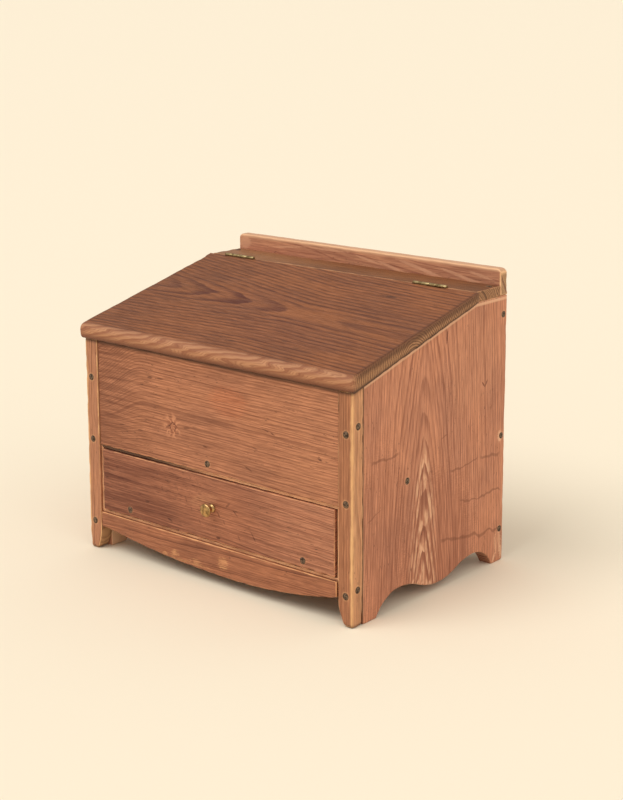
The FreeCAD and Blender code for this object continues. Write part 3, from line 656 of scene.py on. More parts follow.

# %% [markdown]
# ## Marks of single boards
# What makes an old board itself is in no pattern: a knot with star cracks, a few dark dashes, a damp line.
# Each is placed one by one, in millimetres from the box's own origin. A spot is an ellipse with a soft ragged
# edge, and a knot is a round core with cracks between the rays of a star. Painting them on a picture would
# do as well, but a formula stays sharp at any distance.

# %% Placed marks
w, (point, across, up, long, wide, turn), close = shared(
    "spot", ["Point", "Across", "Up", "Long", "Wide", "Turn"], ["Mask"])
x, y, _ = w.split(point)
x, y = w.minus(x, across), w.minus(y, up)
cos, sin = w.math("COSINE", turn), w.math("SINE", turn)
u = w.over(w.plus(w.times(x, cos), w.times(y, sin)), long)
v = w.over(w.minus(w.times(y, cos), w.times(x, sin)), wide)
radius = w.math("SQRT", w.plus(w.times(u, u), w.times(v, v)))
spot = close(w.fade(w.plus(radius, w.stir(point, (5, 1.2, 1.2))), 1.15, 0.6))

w, (point, across, up, reach), close = shared("knot", ["Point", "Across", "Up", "Reach"], ["Core", "Cracks"])
x, y, _ = w.split(point)
x, y = w.minus(x, across), w.minus(y, up)
radius = w.over(w.math("SQRT", w.plus(w.times(x, x), w.times(y, y))), reach)
turnings = w.plus(w.times(w.math("ARCTAN2", y, x), 7.0), w.times(w.noise(point, (6, 6, 6)), 9.0))
rays = w.fade(w.math("SINE", turnings), -0.1, 0.8)
core = w.fade(w.plus(radius, w.stir(point, (4, 4, 4))), 0.9, 0.5)
knot = close(core, w.times(rays, w.fade(radius, 1.5, 0.8)))
print("spot:", len(spot.nodes), "nodes, knot:", len(knot.nodes))

# %% Laying the marks
DAMP = colour(112, 62, 42)
EDGE_CLIMB = 0.277


def lay_spot(finish, face, across, up, long, wide, turn, paint, strength):
    """Lay a colour in one ellipse; the turn is in degrees."""
    mask = finish.w.use(spot, face, across, up, long, wide, math.radians(turn))
    finish.lay(mask, paint, strength)


def lay_spots(finish, face, places, paint, strength):
    """Lay a colour in ellipses; each place is across, up, length, width and a turn in degrees."""
    for place in places:
        lay_spot(finish, face, *place, paint, strength)


def lay_damp(finish, face, lines):
    """Lay brown lines; each is where it starts and ends across, its height, slant, wave and width."""
    for line in lines:
        finish.lay(finish.w.use(damp_line, face, *line), DAMP, 0.45)


def line_height(w, y, through, climb):
    """Height at a depth y of a sloping line through a point (y, z)."""
    return w.plus(through[1], w.times(w.minus(y, through[0]), climb))


print("the colour of damp:", [round(v, 3) for v in DAMP])

# %% [markdown]
# ## The lid's own marks
# The lid shows a tall cathedral of flames that stops right of the middle, and its rounded nose cuts through
# the same years, so they come out there as pale nested tongues. The lid darkens towards its left end. On the
# nose the tongues are kept to the upper half as a painted highlight, the lower half gets painted shade, and a
# painted shadow line runs under it. The tongues are a saw-tooth along the nose that leans with the height,
# which is what a curved surface makes of level rings.

# %% Marks of the lid's top
FLAMES_END = 34.0
LID_DASHES = [(14, -122, 6, 1.6, 4), (80, -102, 5, 1.6, -8), (108, -112, 6, 1.6, 0),
              (125, 46, 9, 2.6, 10), (118, 47, 16, 1.2, 6)]


def lid_bend(w, point):
    """The taper ends right of the last flame, so the years run level from there."""
    past = w.math("MAXIMUM", w.minus(w.split(point)[0], FLAMES_END), 0.0)
    return point, w.plus(1.3, w.times(past, -0.12))


def lid_marks(finish):
    """Darker clouds in the middle, a darker left end, and five dark dashes."""
    w = finish.w
    face = w.face_on("xy")
    finish.lay(w.use(spot, face, -60.0, -20.0, 95.0, 42.0, 0.1), colour(118, 68, 48), 0.3)
    finish.lay(w.use(spot, face, 60.0, -80.0, 110.0, 40.0, -0.1), colour(120, 68, 50), 0.3)
    finish.lay(w.fade(w.split(face)[0], -40.0, -180.0), colour(116, 70, 42), 0.6)
    lay_spots(finish, face, LID_DASHES, DARK, 0.7)


print("dashes on the lid:", len(LID_DASHES))

# %% Marks of the lid's nose
NOSE_REAR, NOSE_FRONT, NOSE_MIDDLE = -138.5, -148.0, 285.0
TONGUE_LONG, FINE_TONGUE, TONGUE_LEAN = 34.0, 7.5, 3.6


def lid_nose(finish, x, y, z):
    """The rubbed nose: pale tongues kept to its upper half as a painted highlight, fine dark ones all over,
    painted shade over its lower half and a painted shadow line at its underside.
    """
    w = finish.w
    edge = w.plus(y, w.times(w.noise(finish.own, (40, 6, 6)), 6.0))
    nose = w.fade(edge, NOSE_REAR, NOSE_FRONT)
    finish.lay(nose, colour(160, 104, 74), 0.85)
    lean = w.minus(x, w.times(w.apart(z, NOSE_MIDDLE), TONGUE_LEAN))
    along = w.plus(lean, w.times(w.noise(finish.own, (80, 14, 14)), 90.0))
    part = w.math("FRACT", w.over(along, TONGUE_LONG))
    tongue = w.times(w.fade(part, 0.0, 0.6), w.fade(part, 1.0, 0.75))
    # The pale tongues are grain, kept to the upper half as a painted highlight.
    finish.lay(w.times(nose, tongue, w.fade(z, 282.5, 291.0)), colour(208, 152, 110), 0.65)
    fine = w.math("FRACT", w.over(along, FINE_TONGUE))
    finish.lay(w.times(nose, w.fade(fine, 0.45, 0.85), w.fade(fine, 1.0, 0.9)), colour(126, 74, 52), 0.42)
    # Painted shade over the lower half of the nose.
    finish.lay(w.times(nose, w.fade(z, 290.0, 281.0)), colour(106, 64, 44), 0.75)
    # A painted shadow line along the underside of the nose.
    finish.lay(w.times(nose, w.fade(z, 283.0, 279.5)), colour(58, 32, 20), 0.8)


print("a tongue every", TONGUE_LONG, "mm along the nose")

# %% Marks on top of the lid's grain
LID_TOP_FOOT, LID_TOP_CLIMB = (-155.05, 298.5), 0.245
LID_UNDER_FOOT = (-149.75, 279.2)


def lid_over(finish):
    """Bold flames, the nose, and a right end with painted shade along its upper rounded edge and a painted
    shadow along its lower edge.
    """
    w = finish.w
    x, y, z = w.split(w.place())
    flames = w.use(spot, w.face_on("xy"), -72.0, -22.0, 110.0, 17.0, -0.08)
    finish.lay(w.times(finish.line, flames), colour(92, 42, 28), 0.75)
    lid_nose(finish, x, y, z)
    wave = w.times(w.noise(finish.own, (14, 14, 14)), 4.0)
    end = w.fade(x, 218.0, 223.0)
    # Painted shade on the rounded upper edge of the right end.
    above = w.plus(w.minus(z, line_height(w, y, LID_TOP_FOOT, LID_TOP_CLIMB)), wave)
    finish.lay(w.times(end, w.fade(above, -8.0, -2.0), w.fade(y, -152.0, -132.0)), colour(92, 56, 36), 0.7)
    # Painted shadow along the lower edge of the right end.
    below = w.plus(w.minus(z, line_height(w, y, LID_UNDER_FOOT, EDGE_CLIMB)), wave)
    finish.lay(w.times(end, w.fade(below, 9.0, 2.0)), colour(84, 52, 34), 0.7)


print("the lid's end is edged from y", LID_TOP_FOOT[0], "mm on")

# %% [markdown]
# ## The sides' own marks
# The right side is the showpiece: nested flames rise up its middle, with pale wood worn between them, and
# damp has drawn wavy brown lines across it. The left side can't be seen in the picture, so it gets quieter
# marks of the same kinds. Each board could have been given one of two stock woods, but it is the marks in
# odd places that tell a real board from a sample.

# %% Flames of the right side
PALE_SIDE = colour(238, 186, 148)


def side_marks(finish):
    """A browner middle and front, and a lighter upper rear."""
    face = finish.w.face_on("yz")
    lay_spot(finish, face, 20.0, 60.0, 80.0, 100.0, 0, colour(156, 92, 66), 0.55)
    lay_spot(finish, face, 90.0, 270.0, 60.0, 70.0, 0, colour(214, 150, 114), 0.45)
    lay_spot(finish, face, -90.0, 100.0, 44.0, 120.0, 0, colour(152, 92, 68), 0.4)


def side_bend(w, point):
    """The full taper holds near the middle only, so the lines beside the nested flames stay upright."""
    x, y, _ = w.split(point)
    return point, w.times(x, w.fade(w.math("ABSOLUTE", y), 18.0, 80.0), -0.07)


def side_flames(finish, y, z):
    """Pale wood between the flames: a patchy tongue that narrows from the foot up."""
    w = finish.w
    middle = w.math("ABSOLUTE", w.plus(y, 3.0, w.times(w.noise(finish.own, (50, 30, 30)), 14.0)))
    width = w.fade(z, 215.0, 70.0, 7.0, 30.0)
    flame = w.times(w.fade(w.over(middle, width), 1.1, 0.45), w.fade(z, 208.0, 165.0))
    ragged = w.fade(w.noise(finish.own, (26, 3.4, 3.4), 3, 0.6), 0.38, 0.56)
    patches = w.fade(w.noise(finish.own, (30, 15, 15), 3, 0.6), 0.38, 0.55, 0.25, 1.0)
    finish.lay(w.times(flame, ragged, patches, w.fade(finish.line, 0.7, 0.1)), PALE_SIDE, 0.85)
    finish.lay(w.times(flame, finish.line), colour(132, 74, 52), 0.2)
    return ragged


print("pale wood of the right side:", [round(v, 2) for v in PALE_SIDE])

# %% Marks of the right side
SIDE_TOP_FOOT, LEVEL_TOP = (-145.75, 280.0), 346.0
SIDE_DAMP = [(-114, -56, 189, 0.02, 26, 2.4), (40, 104, 146, 0.03, 24, 1.8), (104, 152, 148, -0.06, 20, 2.8),
             (62, 156, 99, -0.05, 24, 2.0), (22, 156, 62, -0.16, 26, 2.8), (20, 40, 188, 0.2, 12, 1.4),
             (-120, -90, 120, 0.3, 20, 1.4)]
SMALL_V = [(111, 240, 5, 1.2, -50), (117, 241, 5, 1.2, 60), (33, 314, 9, 1.8, 85)]
PALE_CHIPS = [(-22, 18, 7, 1.8, 60), (-13, 14, 6, 1.6, 70), (-31, 22, 7, 1.6, 55), (3, 13, 5, 1.5, 80),
              (149, 166, 5, 8, 0), (140, 7, 2.4, 7, -25), (155, 12, 2.2, 11, 0)]


def side_over(finish):
    """Pale flames, damp lines, a small V, pale chips near the feet, and a pale line just under the lid."""
    w = finish.w
    face = w.face_on("yz")
    y, z, _ = w.split(face)
    ragged = side_flames(finish, y, z)
    lay_damp(finish, face, SIDE_DAMP)
    lay_spots(finish, face, SMALL_V, DAMP, 0.8)
    lay_spots(finish, face, PALE_CHIPS, PALE_SIDE, 0.75)
    finish.lay(w.times(w.use(spot, face, 148.0, 26.0, 8.0, 18.0, 0.0), ragged), PALE_SIDE, 0.7)
    top = w.math("MINIMUM", LEVEL_TOP, line_height(w, y, SIDE_TOP_FOOT, EDGE_CLIMB))
    low = w.minus(top, z)
    finish.lay(w.times(w.fade(low, 6.5, 4.5), w.fade(low, 1.5, 2.5)), PALE_SIDE, 0.75)


print("damp lines on the right side:", len(SIDE_DAMP))

# %% [markdown]
# The left side is drawn from the same groups, in other places and amounts. A copy of the right side's
# marks, mirrored, would be seen at once by anyone who turns the box round.

# %% Marks of the left side
LEFT_DAMP = [(-110, 20, 230, -0.05, 26, 2.0), (30, 150, 52, 0.12, 22, 2.4)]


def left_over(finish):
    """Two damp lines, a knot low at the back, a pale rubbed patch, and painted light on the shaded inner face
    at the feet.
    """
    w = finish.w
    face = w.face_on("yz")
    core, cracks = w.use(knot, face, 96.0, 88.0, 9.0)
    finish.lay(cracks, colour(150, 88, 60), 0.6)
    finish.lay(core, colour(82, 40, 27), 0.85)
    lay_damp(finish, face, LEFT_DAMP)
    ragged = w.fade(w.noise(finish.own, (60, 6, 6), 3, 0.6), 0.42, 0.66)
    patch = w.times(w.use(spot, face, -40.0, 110.0, 34.0, 80.0, 0.1), ragged)
    finish.lay(patch, colour(226, 170, 134), 0.35)
    _, z, x = w.split(face)
    # Painted light: the shaded inner face near the feet is laid pale.
    finish.lay(w.times(w.fade(x, -202.5, -201.5), w.fade(z, 60.0, 30.0)), colour(252, 202, 160), 0.85)


print("damp lines on the left side:", len(LEFT_DAMP))

# %% [markdown]
# ## The posts' own marks
# Hands have rubbed the front corners of the posts to bare pale wood for their whole height, and the pale band
# is also a painted highlight where the corner catches the light. The band is uneven, so it is drawn by the
# distance to the corner plus two noises, a slow one for its swings and a quick one for its edge.

# %% Marks of the posts
POST_FRONT, POST_OUTSIDE = -145.75, 220.0


def post_marks(finish):
    """The left post is pinker; the right face of the right post is paler."""
    w = finish.w
    x, _, _ = w.split(w.place())
    finish.lay(w.fade(x, 10.0, -10.0), colour(194, 136, 104), 0.7)
    finish.lay(w.fade(x, 217.5, 219.5), colour(236, 176, 128), 0.85)


def post_over(finish):
    """A bright band of uneven width down the front corner: worn pale wood, and a painted highlight."""
    w = finish.w
    x, y, _ = w.split(w.place())
    beside = w.minus(POST_OUTSIDE, w.math("ABSOLUTE", x))
    corner = w.math("MAXIMUM", w.apart(y, POST_FRONT), beside)
    swings = w.times(w.noise(finish.own, (34, 6, 6)), 3.4)
    ragged = w.times(w.noise(finish.own, (8, 4, 4)), 1.6)
    band = w.fade(w.plus(corner, w.plus(swings, ragged)), 7.0, 3.4)
    patchy = w.fade(w.noise(finish.own, (18, 6, 6), 3, 0.6), 0.3, 0.6, 0.45, 1.0)
    # Worn pale wood and painted highlight down the front corner.
    finish.lay(w.times(band, patchy), colour(240, 186, 128), 0.75)


print("the posts' front is at y", POST_FRONT, "mm")

# %% [markdown]
# ## The front's own marks
# The panel has a star knot left of its middle, short dark dashes, and years that turn down at its upper
# left, as they do beside a branch. The drawer front is dark and flecked round its knob, where fingers have
# been at it. On the apron the varnish has flaked off in pale patches. Dashes are small ellipses, each
# placed one by one, because an even scatter looks printed.

# %% Marks of the panel
PANEL_DASHES = [(-124, 175, 5, 1.1, 0), (-157, 176, 6, 1.1, 10), (-87, 247, 6, 1.4, 0), (-28, 196, 4, 1, 10),
                (-105, 246, 5, 1.6, 5), (87, 213, 6, 1.1, -12), (71, 187, 5, 1.3, -15), (99, 210, 4, 1, -20),
                (131, 244, 3, 1, 0), (171, 193, 4, 1.5, -15), (-11, 174, 4, 1.3, -10), (60, 160, 7, 1.2, -20),
                (-42, 192, 6, 1.2, 5)]
KNOT_CRACKS = [(-70, 192, 6, 1.2, 40), (-63, 193, 6, 1.2, -35), (-70, 187, 5, 1.1, 110),
               (-62, 187, 4, 1.1, 70), (-74, 189, 4, 1, 10)]


def panel_bend(w, point):
    """In the upper left corner the years turn down steeply, as beside a branch."""
    x, _, z = w.split(point)
    stirred = w.plus(x, w.times(w.noise(point, (120, 120, 120), 1), 24.0))
    return point, w.times(w.fade(stirred, -100.0, -215.0), w.fade(z, 30.0, 130.0), 56.0)


def panel_marks(finish):
    """Dark on the left, paler on the right, a redder patch above the middle, and short dashes."""
    w = finish.w
    face = w.face_on("xz")
    x = w.split(face)[0]
    stirred = w.plus(x, w.times(w.noise(finish.own, (60, 40, 40)), 60.0))
    finish.lay(w.fade(stirred, -40.0, -170.0), colour(122, 72, 50), 0.85)
    finish.lay(w.fade(x, 20.0, 190.0), colour(210, 146, 106), 0.35)
    lay_spot(finish, face, 28.0, 236.0, 34.0, 20.0, 0, colour(206, 106, 58), 0.35)
    lay_spots(finish, face, PANEL_DASHES, colour(74, 36, 24), 0.85)


def panel_over(finish):
    """A knot with star cracks."""
    face = finish.w.face_on("xz")
    core, cracks = finish.w.use(knot, face, -67.0, 190.0, 13.0)
    finish.lay(core, colour(150, 88, 60), 0.5)
    finish.lay(cracks, colour(206, 140, 102), 0.8)
    lay_spots(finish, face, KNOT_CRACKS, colour(100, 52, 36), 0.7)


print("dashes on the panel:", len(PANEL_DASHES))

# %% [markdown]
# Most flecks of the drawer front lean one way, because they are cut ends of the same fibres; a few dark
# ones are stray knocks. The apron's flakes have torn edges, because old varnish comes off in crumbs: their
# ellipses are broken up by a fine noise.

# %% Marks of the drawer and the apron
LEANING_FLECKS = [(-45, 101, 5, 1.2, -68), (-36, 91, 4, 1.1, -72), (10, 93, 5, 1.2, -58), (19, 85, 4, 1, -62),
                  (-22, 77, 4, 1.1, -66), (-86, 105, 4, 1, -60), (44, 70, 5, 1.1, -60), (-60, 112, 4, 1, -64)]
DARK_FLECKS = [(26, 108, 5, 1.6, 45), (-114, 83, 4, 2, 0), (-73, 68, 5, 1.6, -20), (-56, 65, 4, 1.6, 0),
               (67, 77, 8, 1, -55), (9, 63, 4, 1.6, 0), (38, 100, 5, 1.2, -40)]
FLAKES = [(-65, 25, 8, 7, 0), (17, 32, 10, 9, 0), (-83, 22, 5, 3, 0), (-30, 24, 12, 3, 0),
          (-40, 20, 40, 2, 0)]


def drawer_marks(finish):
    """Dark and flecked on the left, paler on the right."""
    w = finish.w
    face = w.face_on("xz")
    x = w.split(face)[0]
    stirred = w.plus(x, w.times(w.noise(finish.own, (70, 30, 30)), 80.0))
    finish.lay(w.fade(stirred, 30.0, -90.0), colour(110, 58, 40), 0.75)
    finish.lay(w.fade(x, 40.0, 150.0), colour(204, 142, 108), 0.6)
    finish.lay(w.use(spot, face, -14.0, 106.0, 26.0, 9.0, 0.3), colour(216, 152, 108), 0.45)
    resin = w.use(dashes, finish.own, 9.0, 1.7, 0.4)
    finish.lay(w.times(resin, w.fade(x, 60.0, -40.0)), colour(70, 34, 24), 0.7)
    lay_spots(finish, face, LEANING_FLECKS, colour(72, 34, 24), 0.7)
    lay_spots(finish, face, DARK_FLECKS, colour(66, 32, 24), 0.8)


def apron_marks(finish):
    """Pale patches where the varnish has flaked off."""
    w = finish.w
    face = w.face_on("xz")
    flaked = w.fade(w.noise(finish.own, (9, 4, 4), 3, 0.6), 0.35, 0.55)
    for place in FLAKES:
        finish.lay(w.times(w.use(spot, face, *place), flaked), colour(224, 162, 110), 0.85)


print("flecks on the drawer:", len(LEANING_FLECKS) + len(DARK_FLECKS), "flakes on the apron:", len(FLAKES))

# %% [markdown]
# ## The rear's own marks
# The top board is dark, because dirt gathers behind the lid where no cloth reaches. The rail has pale
# streaks that lean across its right half, where the years run out of the board, and its upper edge is
# rubbed pale by everything that was ever leaned on it. Both need only soft fades and a few ellipses.

# %% Marks of the rail and the top board
RAIL_STREAKS = [(-208, 368, 12, 9, 20), (52, 362, 30, 2.2, -14), (88, 368, 34, 2.4, -12),
                (116, 361, 30, 2.6, -14), (150, 366, 28, 2.2, -12), (176, 360, 24, 2.4, -12),
                (190, 368, 20, 2, -10), (10, 368, 24, 1.6, -10), (-60, 374, 40, 1.6, 0),
                (-130, 370, 34, 1.4, 6)]


def rail_marks(finish):
    """Redder towards the lower left."""
    w = finish.w
    x, z, _ = w.split(w.face_on("xz"))
    finish.lay(w.times(w.fade(x, 0.0, -160.0), w.fade(z, 374.0, 362.0)), colour(186, 116, 90), 0.6)


def rail_over(finish):
    """A pale left end, pale streaks, and a pale upper edge."""
    w = finish.w
    face = w.face_on("xz")
    lay_spots(finish, face, RAIL_STREAKS, colour(226, 170, 134), 0.5)
    finish.lay(w.fade(w.split(face)[1], 374.0, 378.5), colour(236, 188, 146), 0.5)


def top_marks(finish):
    """Paler at the left end, darker at the right."""
    w = finish.w
    x = w.split(w.face_on("xy"))[0]
    finish.lay(w.fade(x, 20.0, -170.0), colour(188, 136, 94), 0.65)
    finish.lay(w.fade(x, 150.0, 200.0), colour(112, 72, 48), 0.5)


print("streaks on the rail:", len(RAIL_STREAKS))

# %% [markdown]
# ## The finish of each board
# The boards differ because they came from different trunks and had different lives. For each, the heart of
# its trunk is placed below or behind the face that shows, and the colours are set to what light has made of
# it. The lid has the widest years; the sides and the beads are the palest wood.

# %% Finishes of the lid, sides and posts
SIDE_WOOD = {"ground": colour(205, 141, 109), "late": colour(136, 78, 56), "worn": colour(236, 182, 138),
             "reach": 1.3, "faint": 0.5}
lid_pine = pine("lid_pine", "x", (0, -20.5, 300.6), colour(147, 90, 53), colour(82, 38, 24),
                colour(172, 116, 80), end=colour(182, 132, 91), seed=1.0, spacing=6.7, taper=0.12,
                wander=3.0, vary=0.0, turn=(13.8, 0, -4.6), bend=lid_bend, line=0.85, faint=0.6, streak=0.6,
                reach=1.0, marks=lid_marks, over=lid_over)
side_pine = pine("side_pine", "z", (203, -10, 0), seed=2.0, spacing=4.4, taper=0.12, wander=7.0, vary=1.2,
                 bend=side_bend, line=0.7, marks=side_marks, over=side_over, **SIDE_WOOD)
left_pine = pine("side_pine_left", "z", (-205, 24, 0), seed=2.5, spacing=4.2, taper=-0.1, wander=9.0,
                 vary=1.4, line=0.75, over=left_over, **SIDE_WOOD)
post_pine = pine("post_pine", "z", (150, -170, 0), colour(181, 122, 86), colour(122, 74, 48),
                 colour(244, 190, 134), seed=3.0, spacing=3.6, reach=1.2, marks=post_marks, over=post_over)
print("finishes so far:", [material.name for material in bpy.data.materials])

# %% Finishes of the front and the rear
panel_pine = pine("panel_pine", "x", (0, -128, 92), colour(182, 122, 89), colour(104, 54, 36),
                  colour(222, 166, 120), seed=4.0, spacing=3.8, taper=0.015, wander=9.0, vary=1.4,
                  bend=panel_bend, line=0.72, faint=0.6, streak=0.6, reach=1.3, marks=panel_marks,
                  over=panel_over)
drawer_pine = pine("drawer_pine", "x", (0, -120, 10), colour(169, 110, 81), colour(96, 49, 34),
                   colour(212, 152, 108), seed=10.0, spacing=3.9, line=0.75, faint=0.55, streak=0.55,
                   reach=1.3, marks=drawer_marks)
apron_pine = pine("apron_pine", "x", (0, -100, 120), colour(172, 112, 80), colour(96, 50, 33),
                  colour(226, 166, 114), seed=5.0, spacing=3.6, taper=0.03, rag=1.4, marks=apron_marks)
rail_pine = pine("rail_pine", "x", (0, 100, 330), colour(198, 141, 108), colour(146, 86, 66),
                 colour(232, 182, 136), end=colour(196, 154, 110), seed=8.0, spacing=4.2, taper=0.06,
                 line=0.7, reach=2.6, marks=rail_marks, over=rail_over)
top_pine = pine("top_pine", "x", (0, 60, 300), colour(134, 85, 49), colour(82, 46, 30), colour(190, 138, 98),
                end=colour(180, 130, 90), seed=9.0, spacing=4.4, line=0.7, reach=1.2, marks=top_marks)
print("finishes so far:", len(bpy.data.materials))

# %% Finishes of the beads and the inner boards
BEAD_WOOD = {"ground": colour(206, 150, 112), "late": colour(132, 80, 56), "worn": colour(232, 180, 134),
             "spacing": 3.0, "reach": 0.9, "rag": 0.5}
INNER_WOOD = {"ground": colour(172, 124, 86), "late": colour(130, 82, 54), "worn": colour(206, 156, 110),
              "spacing": 4.2, "reach": 1.4}
bead_pine = pine("bead_pine", "x", (0, -60, 40), seed=6.0, **BEAD_WOOD)
upright_bead = pine("bead_pine_upright", "z", (0, -60, 40), seed=6.5, **BEAD_WOOD)
inner_pine = pine("inner_pine", "x", (0, 60, -60), seed=7.0, **INNER_WOOD)
deep_pine = pine("inner_pine_deep", "y", (60, 0, -50), seed=7.5, **INNER_WOOD)
print("pine finishes:", sum("pine" in material.name for material in bpy.data.materials))

# %% [markdown]
# ## Iron and brass
# The nails are wrought iron, nearly black, with brown rust in patches and a grey shine on the struck crown.
# The knob and hinges are yellow brass, dulled to olive where hands don't reach. Both metals get their
# colour from clouds of two tones and their roughness from the same clouds, because tarnish is both darker
# and duller.

# %% Metals
def metal(name, bright, dull, smooth, rough, size, metallic=1.0, darkening=0.5):
    """A tarnished metal: clouds of a bright smooth tone and a dull rough one, with dirt in the dull one."""
    finish = Finish(name)
    w = finish.w
    point = w.place()
    cloud = w.fade(w.noise(point, (size, size, size), 4, 0.6), 0.35, 0.68)
    fine = w.noise(point, (0.9, 0.9, 0.9), 2, 0.6)
    finish.colour = w.blend(cloud, bright, dull)
    finish.lay(w.fade(fine, 0.5, 0.75), shade(dull, 0.4), darkening)
    finish.height = w.plus(fine, cloud)
    finish.shader.inputs["Metallic"].default_value = metallic
    tarnish = w.fade(w.plus(w.times(cloud, 0.8), w.times(fine, 0.2)), 0.1, 0.9, smooth, rough)
    return finish.close(tarnish, bump=0.3, bump_deep=0.15)


wrought_iron = metal("wrought_iron", colour(128, 104, 82), colour(44, 29, 21), 0.42, 0.8, 2.4, metallic=0.5)
knob_brass = metal("knob_brass", colour(200, 160, 106), colour(120, 92, 58), 0.3, 0.5, 5.0, darkening=0.3)
hinge_brass = metal("hinge_brass", colour(200, 176, 126), colour(126, 106, 72), 0.35, 0.6, 8.0)
screw_brass = metal("screw_brass", colour(192, 164, 112), colour(106, 88, 58), 0.35, 0.65, 3.0)
print("materials:", len(bpy.data.materials))

# %% [markdown]
# ## The sawn sides
# Each side is one wide board with its grain upright. Its top edge slopes down to the front, and its bottom
# edge is sawn into two feet with a lobe between two arches. A curve could be drawn and filled, but then the
# face would be one flat polygon that can't wear. Here a block's height is stretched at each depth y between
# the underside and the top edge, so its grid follows both outlines.

# %% Outlines of a side
SLOPE_FOOT, SLOPE_HEAD = (-145.75 * MM, 280 * MM), (92.25 * MM, 346 * MM)
TOE, ARCH_1, LOBE, ARCH_2, HEEL, BACK = np.array([-101.25, -55.75, 19.75, 95.25, 135.25, 159.25]) * MM
ARCH_TOP, LOBE_LOW, HEEL_ROUND = 25 * MM, 9 * MM, 4 * MM


def slope(y):
    """Height of the sloping top edge at a depth y: a straight line, level behind its upper end."""
    return np.interp(y, *zip(SLOPE_FOOT, SLOPE_HEAD))


def bow(along, level, through):
    """Height of an arc, level at one point and running through another: z0 + r - r sqrt(1 - (d / r)^2)."""
    over, up = through[0] - level[0], through[1] - level[1]
    radius = (over * over + up * up) / (2 * up)
    fall = 1 - np.sqrt(np.clip(1 - ((along - level[0]) / radius) ** 2, 0, 1))
    return level[1] + radius * fall


def sawn_feet(y):
    """Height of the underside at a depth y: level feet, and arcs, level on the arches and the lobe."""
    halfway = (ARCH_TOP + LOBE_LOW) / 2
    turn_1, turn_2 = ((ARCH_1 + LOBE) / 2, halfway), ((LOBE + ARCH_2) / 2, halfway)
    arch_1, lobe, arch_2 = (ARCH_1, ARCH_TOP), (LOBE, LOBE_LOW), (ARCH_2, ARCH_TOP)
    stretches = [(ARCH_1, arch_1, (TOE, 0)), (turn_1[0], arch_1, turn_1), (LOBE, lobe, turn_1),
                 (turn_2[0], lobe, turn_2), (ARCH_2, arch_2, turn_2), (HEEL, arch_2, (HEEL, 0))]
    curve = np.select([y < end for end, _, _ in stretches],
                      [bow(y, level, through) for _, level, through in stretches])
    heel = bow(np.maximum(y, BACK - HEEL_ROUND), (BACK - HEEL_ROUND, 0), (BACK, HEEL_ROUND))
    return np.where(y < TOE, 0, curve) + heel


print("the arches are", round(float(sawn_feet(np.array([ARCH_1]))[0]) / MM), "mm high")

# %% Side boards
FRONT_ROUND, REST_ROUND = 0.4 * MM, 1.2 * MM
CURVE_ENDS = np.array([TOE, HEEL])
NEAR_CURVE = 0.5 * MM


def side_board(side, sign, material):
    """One side of the case: bare inside, with painted light on the inner face near the feet, darker along its
    sawn edge, and dark in its joint behind the post.
    """
    low, high = box_of(f"side_board_{side}")
    kinks = np.add.outer(CURVE_ENDS, [-NEAR_CURVE, 0, NEAR_CURVE]).ravel()
    kinks = np.append(kinks, [SLOPE_HEAD[0] - NEAR_CURVE, SLOPE_HEAD[0] + NEAR_CURVE])
    skin = block(high - low, [REST_ROUND], 3 * MM, {1: kinks - low[1]},
                 lambda q: FRONT_ROUND + (REST_ROUND - FRONT_ROUND) * fade(q[:, 1], 2 * MM, 9 * MM))
    x, y, z = (skin.spots + low).T
    skin.spots = np.stack([x, y, sawn_feet(y) + z / high[2] * (slope(y) - sawn_feet(y))], 1)
    weather(skin, seed=10 + sign, wave=0.25 * MM, bite=0.5 * MM, reach=1.6 * MM)
    x, y, z = skin.spots.T
    joint = fade(y, low[1] + 1.6 * MM, low[1] + 0.3 * MM) * fade(np.abs(x), 212 * MM, 216 * MM)
    sawn = 0.6 * fade(z - sawn_feet(y), 1.4 * MM, 0.3 * MM)
    # Bare inside; the rise to full bareness near the feet is painted light on the shaded inner face.
    bare = facing(skin, 0, -sign) * (0.8 + 0.2 * fade(z, 60 * MM, 30 * MM))
    return make_board(f"side_board_{side}", skin, 2, "case", material, bare,
                      0.8 * np.maximum(sawn, joint))


for side, sign, material in (("left", -1, left_pine), ("right", 1, side_pine)):
    board = side_board(side, sign, material)
    print(board.name, len(board.data.polygons), "faces")

# %% [markdown]
# ## The corner posts
# A square post is nailed over the front edge of each side. Its top follows the slope, its toe is rounded,
# and its foot is cut away inwards in a shallow arc. Of all the pieces it is the most knocked, so its edges
# get the deepest bites. The rounding of its edges grows towards the toe, where it has been kicked.

# %% Posts
FOOT_CUT, FOOT_CUT_HIGH, TOE_ROUND = 8.5 * MM, 33 * MM, 3 * MM
POST_ROUND, POST_TOE_ROUND = 1.1 * MM, 3.4 * MM
SHADOW = 6 * MM


def toe(y, front):
    """Height of the underside of a post: a quarter round at its front."""
    return bow(np.minimum(y, front + TOE_ROUND), (front + TOE_ROUND, 0), (front, TOE_ROUND))


